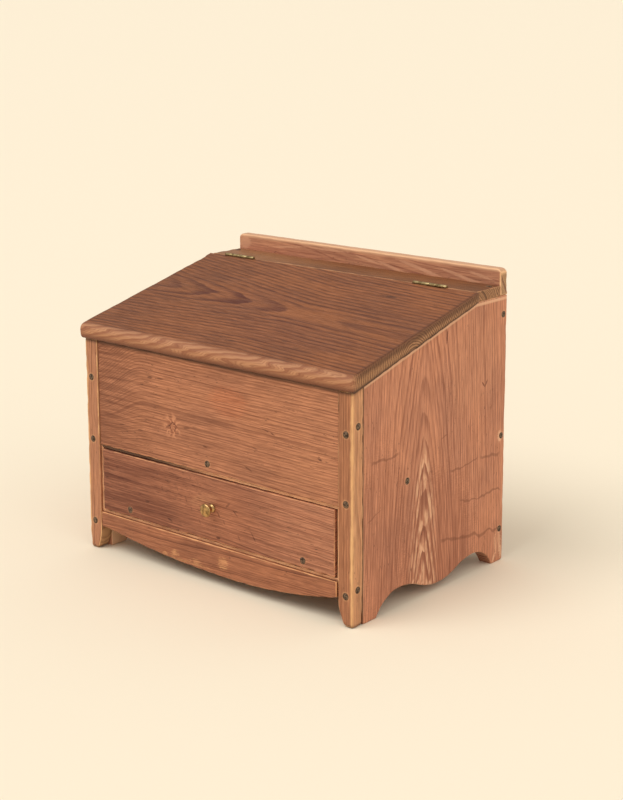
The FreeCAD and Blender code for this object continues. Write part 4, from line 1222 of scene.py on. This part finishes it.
def post(side, sign):
    """One corner post: bare behind, with the bare colour as painted light on the inner face of its foot; dark
    in its joint, with painted shadow under the lid, and darker at the floor.
    """
    low, high = box_of(f"post_{side}")
    skin = block(high - low, [1.2 * MM, 4.5 * MM], 2.2 * MM, None,
                 lambda q: POST_ROUND + POST_TOE_ROUND * fade(q[:, 2], 26 * MM, 6 * MM))
    x, y, z = (skin.spots + low).T
    z = toe(y, low[1]) + z / high[2] * (slope(y) - toe(y, low[1]))
    cut = bow(np.minimum(z, FOOT_CUT_HIGH), (FOOT_CUT_HIGH, 0), (0, FOOT_CUT))
    outer, inner = (high[0], low[0]) if sign > 0 else (low[0], high[0])
    x = outer + (x - outer) * (1 - cut / abs(outer - inner))
    skin.spots = np.stack([x, y, z], 1)
    weather(skin, seed=20 + sign, wave=0.3 * MM, bite=0.6 * MM, reach=2.2 * MM)
    x, y, z = skin.spots.T
    joint_wide = 1.2 * MM + 2.2 * MM * fade(z, 90 * MM, 10 * MM)
    joint = fade(y, high[1] - joint_wide, high[1] - 0.3 * MM) * fade(sign * skin.out[:, 0], -0.8, -0.3)
    # Painted shadow under the lid's nose, at the top of the post's faces.
    under_lid = fade(z, slope(y) - SHADOW, slope(y) - 0.5 * MM) * fade(skin.out[:, 2], 0.7, 0.3)
    # Darker in a thin band at the floor.
    sole = fade(z, 6 * MM, 1 * MM)
    # Painted light: the shaded inner face of the foot takes the pale bare colour.
    inner_foot = facing(skin, 0, -sign) * fade(z, 45 * MM, 25 * MM)
    bare = np.maximum(facing(skin, 1, 1), 0.8 * inner_foot)
    # Dark joint, painted shadow under the lid, and the dark band at the floor.
    darkening = np.maximum.reduce([joint, 0.9 * under_lid, 0.7 * sole])
    return make_board(f"post_{side}", skin, 2, "case", post_pine, bare, darkening)


for side, sign in (("left", -1), ("right", 1)):
    board = post(side, sign)
    print(board.name, len(board.data.polygons), "faces")

# %% [markdown]
# ## The front: panel and apron
# The fixed panel closes the front of the well, and its upper edge follows the slope. Under the drawer lies
# the apron, whose lower edge bows down a little right of the middle. Both have their grain along the box,
# and both are blocks whose height is stretched to their outline, as the sides are.

# %% Panel
low, high = box_of("front_panel")
skin = block(high - low, [1.3 * MM], 3 * MM)
x, y, z = (skin.spots + low).T
share = (z - low[2]) / (high[2] - low[2])
skin.spots = np.stack([x, y, low[2] + share * (slope(y) - low[2])], 1)
weather(skin, seed=31, wave=0.3 * MM, bite=0.5 * MM)
x, y, z = skin.spots.T
# Painted shadow under the lid's nose along the top of the front; the ends darken as joints against the posts.
under_lid = fade(z, slope(y) - SHADOW, slope(y) - 1 * MM) * fade(skin.out[:, 1], -0.3, -0.7)
ends = fade(np.abs(x), high[0] - 1.4 * MM, high[0] - 0.4 * MM)
board = make_board("front_panel", skin, 0, "case", panel_pine, facing(skin, 1, 1),
                   np.maximum(under_lid, ends))
print(board.name, len(board.data.polygons), "faces")

# %% [markdown]
# The apron's lower edge was sawn by eye along a bent lath, so it is two flat arcs, not a circle. Both arcs
# are level at the lowest point, which lets them meet there without a corner.

# %% Apron
APRON_SHOULDER, APRON_LOWEST, APRON_ENDS = 10 * MM, (30 * MM, 14 * MM), 32.5 * MM


def apron_edge(x, low, high):
    """Height of the lower edge: a level shoulder, then two arcs that meet level at the lowest point."""
    shoulder = low + APRON_SHOULDER
    left = bow(np.maximum(x, shoulder), APRON_LOWEST, (shoulder, APRON_ENDS))
    return np.where(x < APRON_LOWEST[0], left, bow(x, APRON_LOWEST, (high, APRON_ENDS)))


low, high = box_of("apron")
skin = block(high - low, [1.5 * MM], 2.5 * MM)
x, y, z = (skin.spots + low).T
edge = apron_edge(x, low[0], high[0])
skin.spots = np.stack([x, y, edge + (z - low[2]) / (high[2] - low[2]) * (high[2] - edge)], 1)
weather(skin, seed=33, wave=0.3 * MM, bite=0.5 * MM, reach=2.6 * MM)
x, y, z = skin.spots.T
darkening = 0.7 * fade(z - apron_edge(x, low[0], high[0]), 1.2 * MM, 0.3 * MM)
board = make_board("apron", skin, 0, "case", apron_pine, facing(skin, 1, 1), darkening)
print(board.name, len(board.data.polygons), "faces")

# %% [markdown]
# ## Beads round the drawer
# Four thin strips line the opening, cut at 45 degrees where they meet. The ends of a block are slid along
# by as much as they rise, which is exactly what a mitre is. A frame with a hole would be simpler, but the
# grain would then run across two of its sides.

# %% Beads
BEADS = (("bottom", 0, 2, -1), ("top", 0, 2, 1), ("left", 2, 0, -1), ("right", 2, 0, 1))


def bead(name, across, rising, outward):
    """One strip, long on axis `across`, whose outer face points `outward` on axis `rising`."""
    low, high = box_of(f"bead_{name}")
    skin = block(high - low, [0.7 * MM], 3 * MM)
    spots = skin.spots + low
    inset = spots[:, rising] - low[rising] if outward < 0 else high[rising] - spots[:, rising]
    share = (spots[:, across] - low[across]) / (high[across] - low[across])
    spots[:, across] = low[across] + inset + share * (high[across] - low[across] - 2 * inset)
    skin.spots = spots
    weather(skin, seed=40 + across + outward, wave=0.1 * MM, bite=0.3 * MM, reach=1.2 * MM)
    outer_face = (low if outward < 0 else high)[rising]
    darkening = fade((skin.spots[:, rising] - outer_face) * -outward, 0.35 * MM, 0.05 * MM)
    # Painted shadow over the left part of the top bead, under the panel's edge.
    if name == "top":
        darkening = np.maximum(darkening, fade(skin.spots[:, 0], 40 * MM, -120 * MM))
    material = upright_bead if across == 2 else bead_pine
    return make_board(f"bead_{name}", skin, across, "case", material, grime=darkening)


for row in BEADS:
    board = bead(*row)
    print(board.name, len(board.data.polygons), "faces")

# %% [markdown]
# ## The plain boards
# The floor of the well, the back board, and the drawer's sides, bottom and back are plain boards. They are
# planed less well than the show sides and were hardly varnished, so they are half bare. One function makes
# them all, because they differ only in place, grain and wear.

# %% Plain boards
HALF_BARE = 0.5


def slab(low, high, radius, step=4 * MM):
    """A rounded block between two corners."""
    low, high = np.array(low), np.array(high)
    skin = block(high - low, [radius], step)
    skin.spots = skin.spots + low
    return skin


def plank(node, grain, body, material, seed, radius=0.8 * MM, step=6 * MM, bite=0.4 * MM):
    """A plain board the size of its CAD node, a little worn."""
    skin = slab(*box_of(node), radius, step)
    weather(skin, seed, wave=0.3 * MM, bite=bite)
    return make_board(node, skin, grain, body, material, np.full(len(skin.spots), HALF_BARE))


planks = [plank("well_floor", 0, "case", inner_pine, 51),
          plank("back_board", 0, "case", inner_pine, 52, 1.2 * MM, 5 * MM, 0.8 * MM),
          plank("drawer_bottom", 0, "drawer", inner_pine, 53),
          plank("drawer_back", 0, "drawer", inner_pine, 54),
          plank("drawer_side_left", 1, "drawer", deep_pine, 55, 1.2 * MM, 4 * MM),
          plank("drawer_side_right", 1, "drawer", deep_pine, 56, 1.2 * MM, 4 * MM)]
print("plain boards:", [board.name for board in planks])

# %% [markdown]
# A runner is two strips nailed to the inside of a side: a ledge that the drawer slides on, and a guide that
# keeps it straight. Two blocks in one mesh are enough, since nobody sees where they meet.

# %% Runners
RUNNER_LEDGE, RUNNER_GUIDE, GUIDE_LIFT = 10 * MM, 5.2 * MM, 1 * MM
for side, sign in (("left", -1), ("right", 1)):
    low, high = box_of(f"drawer_runner_{side}")
    ledge = slab(low, [high[0], high[1], low[2] + RUNNER_LEDGE], 0.8 * MM, 5 * MM)
    inside, outside = (high[0] - RUNNER_GUIDE, high[0]) if sign > 0 else (low[0], low[0] + RUNNER_GUIDE)
    guide = slab([inside, low[1], low[2] + GUIDE_LIFT], [outside, high[1], high[2]], 0.6 * MM, 5 * MM)
    skin = weather(together([ledge, guide]), seed=57 + sign, wave=0.15 * MM)
    board = make_board(f"drawer_runner_{side}", skin, 1, "case", deep_pine)
    print(board.name, len(board.data.polygons), "faces")

# %% [markdown]
# ## Recesses for the hinges
# The hinges are let into the front face of the top board and the rear face of the lid. Each recess is cut
# by holding the points of the face back to the recess's own depth: pairs of grid lines a tenth of a
# millimetre apart make its walls crisp. A Boolean cut would do it too, but it would leave long thin faces
# behind.

# %% Hinge recesses
HINGE_MIDDLES = (-170 * MM, 150 * MM)
HINGE_LONG = 52 * MM
PIN = (92.25 * MM, 359.6 * MM)
LEAF_LOW, KNUCKLE_LOW = PIN[1] - 10.5 * MM, PIN[1] - 2.6 * MM
LEAF_DEEP, KNUCKLE_DEEP = 1.35 * MM, 2.6 * MM
HAIR = 0.05 * MM


def recess_lines(start, lows):
    """Pairs of grid lines at the ends, and at the heights, of the recesses."""
    ends = np.add.outer(HINGE_MIDDLES, [-HINGE_LONG / 2 - HAIR, HINGE_LONG / 2 + HAIR]).ravel()
    x = np.add.outer(ends, [-HAIR, HAIR]).ravel() - start
    z = np.add.outer(np.array(lows), [-HAIR, HAIR]).ravel()
    return x, z


def cut_recess(spots, way):
    """Hold points within a hinge's length back from the pin: by a leaf's depth, higher up by a knuckle's."""
    x, y, z = spots.T
    near = np.abs(np.subtract.outer(x, HINGE_MIDDLES)).min(1) < HINGE_LONG / 2 + 1.2 * HAIR
    deep = np.where(z > KNUCKLE_LOW, KNUCKLE_DEEP, np.where(z > LEAF_LOW, LEAF_DEEP, 0))
    away = (y - PIN[0]) * way
    spots[:, 1] = np.where(near & (away < deep), PIN[0] + way * deep, y)
    return spots


print("hinges at x =", [round(middle / MM) for middle in HINGE_MIDDLES], "mm")

# %% [markdown]
# ## The top board and the rail
# Behind the lid lies a narrow level board, and on it stands the low rail. The board is a plain block with
# the recesses cut into its front face. Wear comes first and the cut after it, because the walls of a recess
# were never touched again once the leaf was in.

# %% Top board
low, high = box_of("top_board")
x_lines, z_lines = recess_lines(low[0], [LEAF_LOW - low[2], KNUCKLE_LOW - low[2]])
skin = block(high - low, [1 * MM], 3 * MM, {0: x_lines, 2: z_lines})
skin.spots = skin.spots + low
weather(skin, seed=61, wave=0.2 * MM, bite=0.6 * MM)
cut_recess(skin.spots, 1)
board = make_board("top_board", skin, 0, "case", top_pine)
print(board.name, len(board.data.polygons), "faces")

# %% [markdown]
# The rail's long edges are rounded by hand, more than any other edge of the box, and its upper corners are
# quarter rounds. Each point near an end drops by what a circle has fallen there, r - sqrt(r^2 - d^2), in
# the measure of its height, so the foot stays level on the top board.

# %% Rail
RAIL_CORNER = 7 * MM
RAIL_FOOT_ROUND, RAIL_TOP_ROUND = 0.6 * MM, 2.4 * MM
low, high = box_of("back_rail")
turns = RAIL_CORNER * (1 - np.sin(np.radians(np.arange(0, 90, 9))))
skin = block(high - low, [3 * MM], 3 * MM, {0: np.concatenate([turns, high[0] - low[0] - turns])},
             lambda q: RAIL_FOOT_ROUND + RAIL_TOP_ROUND * fade(q[:, 2], 2 * MM, 8 * MM))
x, y, z = (skin.spots + low).T
past = np.clip(np.abs(x) - (high[0] - RAIL_CORNER), 0, RAIL_CORNER)
drop = RAIL_CORNER - np.sqrt(RAIL_CORNER ** 2 - past ** 2)
share = (z - low[2]) / (high[2] - low[2])
skin.spots = np.stack([x, y, z - drop * share], 1)
weather(skin, seed=63, wave=0.3 * MM, bite=0.6 * MM)
board = make_board("back_rail", skin, 0, "case", rail_pine)
print(board.name, len(board.data.polygons), "faces")

# %% [markdown]
# ## The lid
# The lid is one slab with its grain along the box. Its underside follows the slope of the sides, its top
# slopes a little less, so it thins towards the hinges, and its front edge leans forward. Each point goes to
# a mix of a bottom line and a top line, by how high it sits in the slab. Its nose and left end are well
# rounded and its right end is crisp, so the rounding changes along the edges, which a Bevel modifier can't
# do smoothly.

# %% Rounding of the lid
LID_BOTTOM = np.array([(-149.75, 279.19), (91.85, 346.19)]) * MM
LID_TOP = np.array([(-155.05, 298.49), (91.85, 359)]) * MM
LID_THICK = 19.5 * MM
low, high = box_of("lid_board")
lid_size = np.array([high[0] - low[0], LID_TOP[1][0] - LID_TOP[0][0], LID_THICK])


def lid_round(q):
    """Rounding per axis: round nose and left end, crisp right end, nearly sharp back and underside."""
    x, y, z = q.T
    left = fade(x, 30 * MM, 12 * MM)
    right = fade(x, lid_size[0] - 30 * MM, lid_size[0] - 12 * MM)
    nose = fade(y, 26 * MM, 12 * MM)
    rear = fade(y, lid_size[1] - 14 * MM, lid_size[1] - 6 * MM)
    upper = fade(z, 6 * MM, 12 * MM) * (1 - rear)
    along = 1 + 4 * np.maximum(upper, nose * left) * (1 - 0.5 * right)
    deep = 1 + nose * (3 + 5 * upper)
    tall = 1 + np.maximum(upper * 4, nose * (3 + 5 * upper))
    return np.stack([along, deep, tall], 1) * MM


print("the lid's slab is", (lid_size / MM).round(1), "mm")

# %% Lid
NEAR_REAR = np.array([2.2, 3.2]) * MM
x_lines, _ = recess_lines(low[0], [])
y_lines = lid_size[1] - NEAR_REAR
rear_shares = (np.array([LEAF_LOW, KNUCKLE_LOW]) - LID_BOTTOM[1][1]) / (LID_TOP[1][1] - LID_BOTTOM[1][1])
z_lines = np.add.outer(rear_shares * LID_THICK, [-2 * HAIR, 2 * HAIR]).ravel()
skin = block(lid_size, [9 * MM, 5 * MM, 1 * MM], 3 * MM, {0: x_lines, 1: y_lines, 2: z_lines}, lid_round)
along = skin.spots[:, 1:2] / lid_size[1]
up = skin.spots[:, 2:] / LID_THICK
under = LID_BOTTOM[0] + along * (LID_BOTTOM[1] - LID_BOTTOM[0])
over = LID_TOP[0] + along * (LID_TOP[1] - LID_TOP[0])
skin.spots = np.hstack([skin.spots[:, :1] + low[0], under + up * (over - under)])
weather(skin, seed=71, wave=0.35 * MM, bite=0.6 * MM, reach=3 * MM)
cut_recess(skin.spots, -1)
bare = 0.8 * fade(-skin.out[:, 2], 0.8, 0.95) * fade(skin.spots[:, 1], -130 * MM, -110 * MM)
# Painted shadow along the lower edge of the lid's right end.
right_end = fade(skin.spots[:, 0], high[0] - 9 * MM, high[0] - 3 * MM)
end_shadow_line = right_end * fade(up[:, 0] * LID_THICK, 4.5 * MM, 1.2 * MM)
board = make_board("lid_board", skin, 0, "lid", lid_pine, bare, 0.85 * end_shadow_line)
print(board.name, len(board.data.polygons), "faces")

# %% [markdown]
# ## The drawer front
# The drawer front has a rabbet at each end that the sides are nailed into. The block's rear face is held
# forward there, and its first few millimetres keep their depth, so the worn front edges stay as they are.

# %% Drawer front
RABBET, SHOW = 10 * MM, 4 * MM
low, high = box_of("drawer_front")
side_ends = [box_of("drawer_side_left")[1][0], box_of("drawer_side_right")[0][0]]
walls = np.add.outer(np.array(side_ends) - low[0], [-HAIR, HAIR]).ravel()
skin = block(high - low, [1.5 * MM], 2.6 * MM, {0: walls})
x, y, z = skin.spots.T
ends = (x + low[0] < side_ends[0]) | (x + low[0] > side_ends[1])
thick = high[1] - low[1]
rear = np.where(ends, thick - RABBET, thick)
y = np.where(y < SHOW, y, SHOW + (y - SHOW) * (rear - SHOW) / (thick - SHOW))
skin.spots = np.stack([x, y, z], 1) + low
weather(skin, seed=81, wave=0.3 * MM, bite=1.0 * MM, reach=2 * MM)
board = make_board("drawer_front", skin, 0, "drawer", drawer_pine)
print(board.name, len(board.data.polygons), "faces")

# %% [markdown]
# ## Turned and forged pieces
# A nail, a screw, a knob and a hinge's knuckle are all made by turning: a profile of (radius, height)
# carried round an axis. A closed pole ends each. Wrought nail heads were struck with a hammer, so their
# circle is made uneven with three slow waves, and their shank is four-sided.

# %% Turning
FOUR_SIDED = 0.86


def turned(profile, around=24, uneven=0.0, square=None, seed=0):
    """Carry (radius, height) points round the z axis; uneven adds waves, square gives rings 4 sides."""
    profile = np.array(profile, float)
    angle = np.arange(around) * 2 * np.pi / around
    dice = np.random.default_rng(seed)
    waves = [size * np.cos(count * angle + dice.uniform(0, 6)) for count, size in ((2, 1), (5, 1), (3, 0.6))]
    wobble = 1 + uneven * sum(waves)
    four_sided = FOUR_SIDED / np.maximum(np.abs(np.cos(angle)), np.abs(np.sin(angle)))
    share = np.zeros((len(profile), 1)) if square is None else np.array(square, float)[:, None]
    reach = profile[:, :1] * (wobble * (1 - share) + four_sided * share)
    heights = np.repeat(profile[:, 1:], around, 1)
    rings = np.stack([reach * np.cos(angle), reach * np.sin(angle), heights], 2)
    poles = [[0, 0, profile[0, 1]], [0, 0, profile[-1, 1]]]
    number = np.arange(len(profile) * around).reshape(len(profile), around)
    after = np.roll(number, -1, 1)
    quads = np.stack([number[:-1], number[1:], after[1:], after[:-1]], -1).reshape(-1, 4)
    pole = len(profile) * around
    first = np.stack([np.full(around, pole), number[0], after[0]], 1)
    last = np.stack([np.full(around, pole + 1), after[-1], number[-1]], 1)
    return np.concatenate([rings.reshape(-1, 3), poles]), quads, np.concatenate([first, last])


def turn_to(spots, axis, way):
    """Turn points whose +z points outwards so that it points along `way` on an axis; True if mirrored."""
    moved = spots[:, {0: [2, 1, 0], 1: [0, 2, 1], 2: [0, 1, 2]}[axis]].copy()
    moved[:, axis] *= way
    return moved, (way < 0) == (axis == 2)


print("a turned disc has", len(turned([(1, 0), (1, 1)])[1]), "quads round it")


# %% Piles of small pieces
class Pile:
    """Many small closed shapes collected into one mesh."""

    def __init__(self):
        self.spots, self.quads, self.tris, self.count = [], [], [], 0

    def add(self, shape, axis, way, place):
        """Add a shape of points, quads and triangles, turned to point along `way` on an axis."""
        spots, quads, tris = shape
        spots, mirrored = turn_to(spots, axis, way)
        if mirrored:
            quads, tris = quads[:, ::-1], tris[:, ::-1]
        self.spots.append(spots + np.array(place))
        self.quads.append(quads + self.count)
        self.tris.append(tris + self.count)
        self.count += len(spots)

    def make(self, name, body, slot, material, nodes):
        """Put the pile into the scene as one piece."""
        spots = np.concatenate(self.spots)
        skin = Skin(spots, spots * 0, np.zeros(len(spots)), np.concatenate(self.quads))
        return make_piece(name, skin, body, material, nodes, np.concatenate(self.tris))


print("a pile can", [call for call in vars(Pile) if not call.startswith("_")])

# %% [markdown]
# ## The nails
# The case is held by wrought nails with large flat heads, and the drawer's sides and the runners by small
# brads. Each head is turned with a seed of its own, so that no two are struck alike, and stands in the
# crown's place that was read from the frame. Instances of one mesh would be lighter, but would all look the
# same.

# %% Nails and brads
AROUND_NAIL, STRUCK = 24, 0.028
BRADS = ("runner_nails", "drawer_side_nails")


def nail(head, crown, proud, shank, length, seed):
    """A struck nail, from its crown, over the head, down its four-sided shank to its point."""
    top = [(0.35 * crown, proud), (0.8 * crown, 0.93 * proud), (crown, 0.8 * proud),
           (0.8 * head, 0.35 * proud), (0.96 * head, 0.05 * proud), (head, -0.3 * MM),
           (0.9 * head, -0.8 * MM)]
    below = [(shank, -1.1 * MM), (0.8 * shank, -0.5 * length), (0.25 * MM, -0.995 * length)]
    square = [0] * len(top) + [1] * len(below)
    return turned(top + below, AROUND_NAIL, STRUCK, square, seed)


for node, found in heads.items():
    pile = Pile()
    head, crown, proud, shank, length = np.array((2.2, 1.4, 0.2, 0.9, 25) if node in BRADS else
                                                 (3.9, 2.2, 0.5, 1.5, 40)) * MM
    for axis, way, spots in found:
        for place in spots:
            shape = nail(head, crown, proud, shank, length, len(pile.spots) + len(node))
            sunk = place.copy()
            sunk[axis] -= way * proud
            pile.add(shape, axis, way, sunk)
    pile.make(f"{node}_iron", frame["nodes"][node]["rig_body"], "wrought_iron", wrought_iron, [node])
    print(node, len(pile.spots), "nails")

# %% [markdown]
# ## The knob
# The drawer opens by one small brass knob with a waist. It was turned on a lathe, and so it is here: its
# outline is written down from the crown to the end of the shank. A square iron nut holds it from inside the
# drawer.

# %% The knob and its nut
KNOB_HIGH, DRAWER_FACE = 99 * MM, -144.75 * MM
KNOB_CROWN = [(0.6, 15.0), (2.2, 14.93), (4.2, 14.68), (5.9, 14.3), (6.8, 14.02), (7.5, 13.55), (8.1, 12.95),
              (8.42, 12.4), (8.5, 11.95), (8.36, 11.5), (7.9, 11.15), (6.4, 10.85), (4.9, 10.6)]
KNOB_WAIST = [(3.9, 10.2), (3.3, 9.6), (3.0, 8.6), (2.95, 6.5), (3.0, 4.2), (3.2, 3.2), (3.7, 2.6),
              (4.5, 2.1)]
KNOB_FOOT = [(5.05, 1.5), (5.2, 1.0), (5.15, 0.3), (5.0, 0.0)]
KNOB_SHANK = [(2.0, 0.0), (2.0, -18.5), (1.7, -21.9)]
outline = np.array(KNOB_CROWN + KNOB_WAIST + KNOB_FOOT + KNOB_SHANK) * MM
knob = Pile()
knob.add(turned(outline, 56), 1, -1, (0, DRAWER_FACE, KNOB_HIGH))
knob.make("drawer_knob_brass", "drawer", "knob_brass", knob_brass, ["drawer_knob"])
nut = slab(*box_of("knob_nut"), 0.5 * MM, 1.5 * MM)
make_piece("knob_nut_iron", nut, "drawer", wrought_iron, ["knob_nut"])
print("knob reaches", round(outline[:, 1].max() / MM, 1), "mm from the drawer")

# %% [markdown]
# ## Hinges
# Each hinge is two brass leaves whose knuckles take turns round a pin. A leaf is a thin rounded plate, two
# short necks and two knuckles; the parts overlap a little, as in a casting. Only the knuckles show when the
# lid is shut, but the whole leaf does when it is open.

# %% Hinges
LEAF_THICK, LEAF_GAP, KNUCKLE, KNUCKLE_GAP, PIN_THICK = 1.2 * MM, 0.15 * MM, 2.2 * MM, 0.3 * MM, 0.9 * MM


def barrel(radius, length, lip):
    """A knuckle: a cylinder with a small lip at each end."""
    half = length / 2
    end = [(0.3 * radius, half), (radius - lip, half),
           (radius - 0.3 * lip, half - 0.3 * lip), (radius, half - lip)]
    return turned(end + [(radius, 0)] + [(reach, -height) for reach, height in end[::-1]], 28)


def leaf(middle, way, first):
    """The plate, necks and knuckles of one leaf, as a pile."""
    front, back = sorted([PIN[0] + way * LEAF_GAP, PIN[0] + way * (LEAF_GAP + LEAF_THICK)])
    start, pitch = middle - HINGE_LONG / 2, HINGE_LONG / 4
    plate_top = PIN[1] - KNUCKLE - KNUCKLE_GAP
    parts = [slab((start, front, LEAF_LOW), (start + HINGE_LONG, back, plate_top), 0.25 * MM)]
    pile = Pile()
    for number in (first, first + 2):
        left = start + pitch * number + KNUCKLE_GAP / 2
        right = start + pitch * (number + 1) - KNUCKLE_GAP / 2
        parts.append(slab((left, front, plate_top - 0.5 * MM), (right, back, PIN[1]), 0.2 * MM))
        pile.add(barrel(KNUCKLE, right - left, 0.3 * MM), 0, 1, ((left + right) / 2, *PIN))
    plates = together(parts)
    pile.spots.append(plates.spots)
    pile.quads.append(plates.quads + pile.count)
    return pile


for side, middle in zip(("left", "right"), HINGE_MIDDLES):
    for name, way, first, body in (("case_leaf", 1, 0, "case"), ("lid_leaf", -1, 1, "lid")):
        node = f"hinge_{side}_{name}"
        leaf(middle, way, first).make(f"{node}_brass", body, "hinge_brass", hinge_brass, [node])
    pin = Pile()
    pin.add(barrel(PIN_THICK, HINGE_LONG, 0.2 * MM), 0, 1, (middle, *PIN))
    node = f"hinge_{side}_pin"
    pin.make(f"{node}_brass", frame["nodes"][node]["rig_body"], "hinge_brass", hinge_brass, [node])
    print("hinge", side, "is", round(HINGE_LONG / MM), "mm long")

# %% [markdown]
# ## Screws
# Three countersunk screws hold each leaf and lie flush with it. A slot has to be cut into the head, so here
# the start is a square block: easing the square to a disc keeps straight grid lines across the head, and
# the points near the middle line sink to make the slot.

# %% Screws
SCREW_LONG, HEAD_DEEP, HEAD_REACH, SHANK_REACH = 13.0, 1.1, 2.3, 1.2
SLOT_LINES = [0.84, 0.87, 1.13, 1.16]
SLOT_HALF, SLOT_DEEP = 0.15, 0.6


def screw(slot_turn):
    """A countersunk screw; a point (u, v) of the square goes to (u sqrt(1 - v^2/2), v sqrt(1 - u^2/2))."""
    neck = SCREW_LONG - HEAD_DEEP
    stops = {0: np.array(SLOT_LINES) * MM, 2: np.array([neck - 0.05, neck + 0.05]) * MM}
    skin = block(np.array([2, 2, SCREW_LONG]) * MM, [0.02 * MM], 0.25 * MM, stops)
    u, v, z = (skin.spots / MM).T
    u, v = u - 1, v - 1
    reach = np.interp(z, [0, 1.5, neck, SCREW_LONG], [0.4, 1.15, SHANK_REACH, HEAD_REACH])
    x, y = u * np.sqrt(1 - v * v / 2) * reach, v * np.sqrt(1 - u * u / 2) * reach
    sunk = (np.abs(u) < SLOT_HALF) & (z > SCREW_LONG - 0.1)
    z = np.where(sunk, -SLOT_DEEP, z - SCREW_LONG)
    c, s = np.cos(slot_turn), np.sin(slot_turn)
    return np.stack([x * c - y * s, x * s + y * c, z], 1) * MM, skin.quads, np.zeros((0, 3), int)


SCREW_DROP, SCREW_SPREAD = 6.4 * MM, 18 * MM
for name, way, body in (("hinge_case_screws", -1, "case"), ("hinge_lid_screws", 1, "lid")):
    pile = Pile()
    for x in np.add.outer(HINGE_MIDDLES, [-SCREW_SPREAD, 0, SCREW_SPREAD]).ravel():
        pile.add(screw(x * 70), 1, way, (x, PIN[0] - way * LEAF_GAP, PIN[1] - SCREW_DROP))
    pile.make(f"{name}_brass", body, "screw_brass", screw_brass, [name])
    print(name, len(pile.spots), "screws")

# %% [markdown]
# ## Floor, light and camera
# The box stands on a plain pale floor that runs far past the view, so no horizon shows. The world gives an
# even light from all round, and two broad suns give the soft shadow under the box and the shade on its
# right side. Their strengths are chosen so that a level surface gets a total of about 1, at which a colour
# renders as written.

# %% Floor
CREAM = (0.98, 0.87, 0.68, 1)
REACH = 40.0
floor_mesh = bpy.data.meshes.new("floor")
corners = [(-REACH, -REACH, 0), (REACH, -REACH, 0), (REACH, REACH, 0), (-REACH, REACH, 0)]
floor_mesh.from_pydata(corners, [], [(0, 1, 2, 3)])
floor = bpy.data.objects.new("floor", floor_mesh)
bpy.context.scene.collection.objects.link(floor)
floor_finish = bpy.data.materials.new("pale_floor")
floor_finish.use_nodes = True
floor_shader = floor_finish.node_tree.nodes["Principled BSDF"]
floor_shader.inputs["Base Color"].default_value = CREAM
floor_shader.inputs["Roughness"].default_value = 0.9
floor_mesh.materials.append(floor_finish)
print("floor:", 2 * REACH, "m wide")

# %% [markdown]
# A sun with a wide angle acts as a window does: its shadows are soft at the edge. The key comes from the
# left of the front, and the weaker fill from the right lifts the side that the camera sees.

# %% Light
def sun(name, azimuth, elevation, strength, spread):
    """A broad sun. Azimuth 0 shines from the front, 90 from the right."""
    lamp = bpy.data.lights.new(name, "SUN")
    lamp.energy = strength
    lamp.angle = math.radians(spread)
    thing = bpy.data.objects.new(name, lamp)
    bpy.context.scene.collection.objects.link(thing)
    thing.rotation_euler = (math.radians(90 - elevation), 0, math.radians(azimuth))


sun("key_light", azimuth=-20, elevation=55, strength=1.3, spread=40)
sun("fill_light", azimuth=70, elevation=40, strength=0.5, spread=60)
world = bpy.data.worlds.new("studio")
bpy.context.scene.world = world
world.use_nodes = True
sky = world.node_tree.nodes["Background"]
sky.inputs["Color"].default_value = (1, 0.96, 0.9, 1)
sky.inputs["Strength"].default_value = 0.6
bpy.context.scene.view_settings.view_transform = "Standard"

# %% [markdown]
# The camera was fitted to the corners of the box in the picture: it stands to the right of the front, a
# little above the lid, and its frame is shifted so that the box sits where it does there.

# %% Camera
camera_data = bpy.data.cameras.new("camera")
camera = bpy.data.objects.new("camera", camera_data)
bpy.context.scene.collection.objects.link(camera)
bpy.context.scene.camera = camera
AZIMUTH, DOWN = 39.860, 11.337
camera.location = (1357.92 * MM, -1549.96 * MM, 748.08 * MM)
camera.rotation_euler = (math.radians(90 - DOWN), 0, math.radians(AZIMUTH))
camera_data.lens = 75.36
camera_data.shift_x = -0.0215
camera_data.shift_y = -0.125
camera_data.clip_end = 200
print("camera:", [round(v, 2) for v in camera.location], "lens", round(camera_data.lens, 1), "mm")
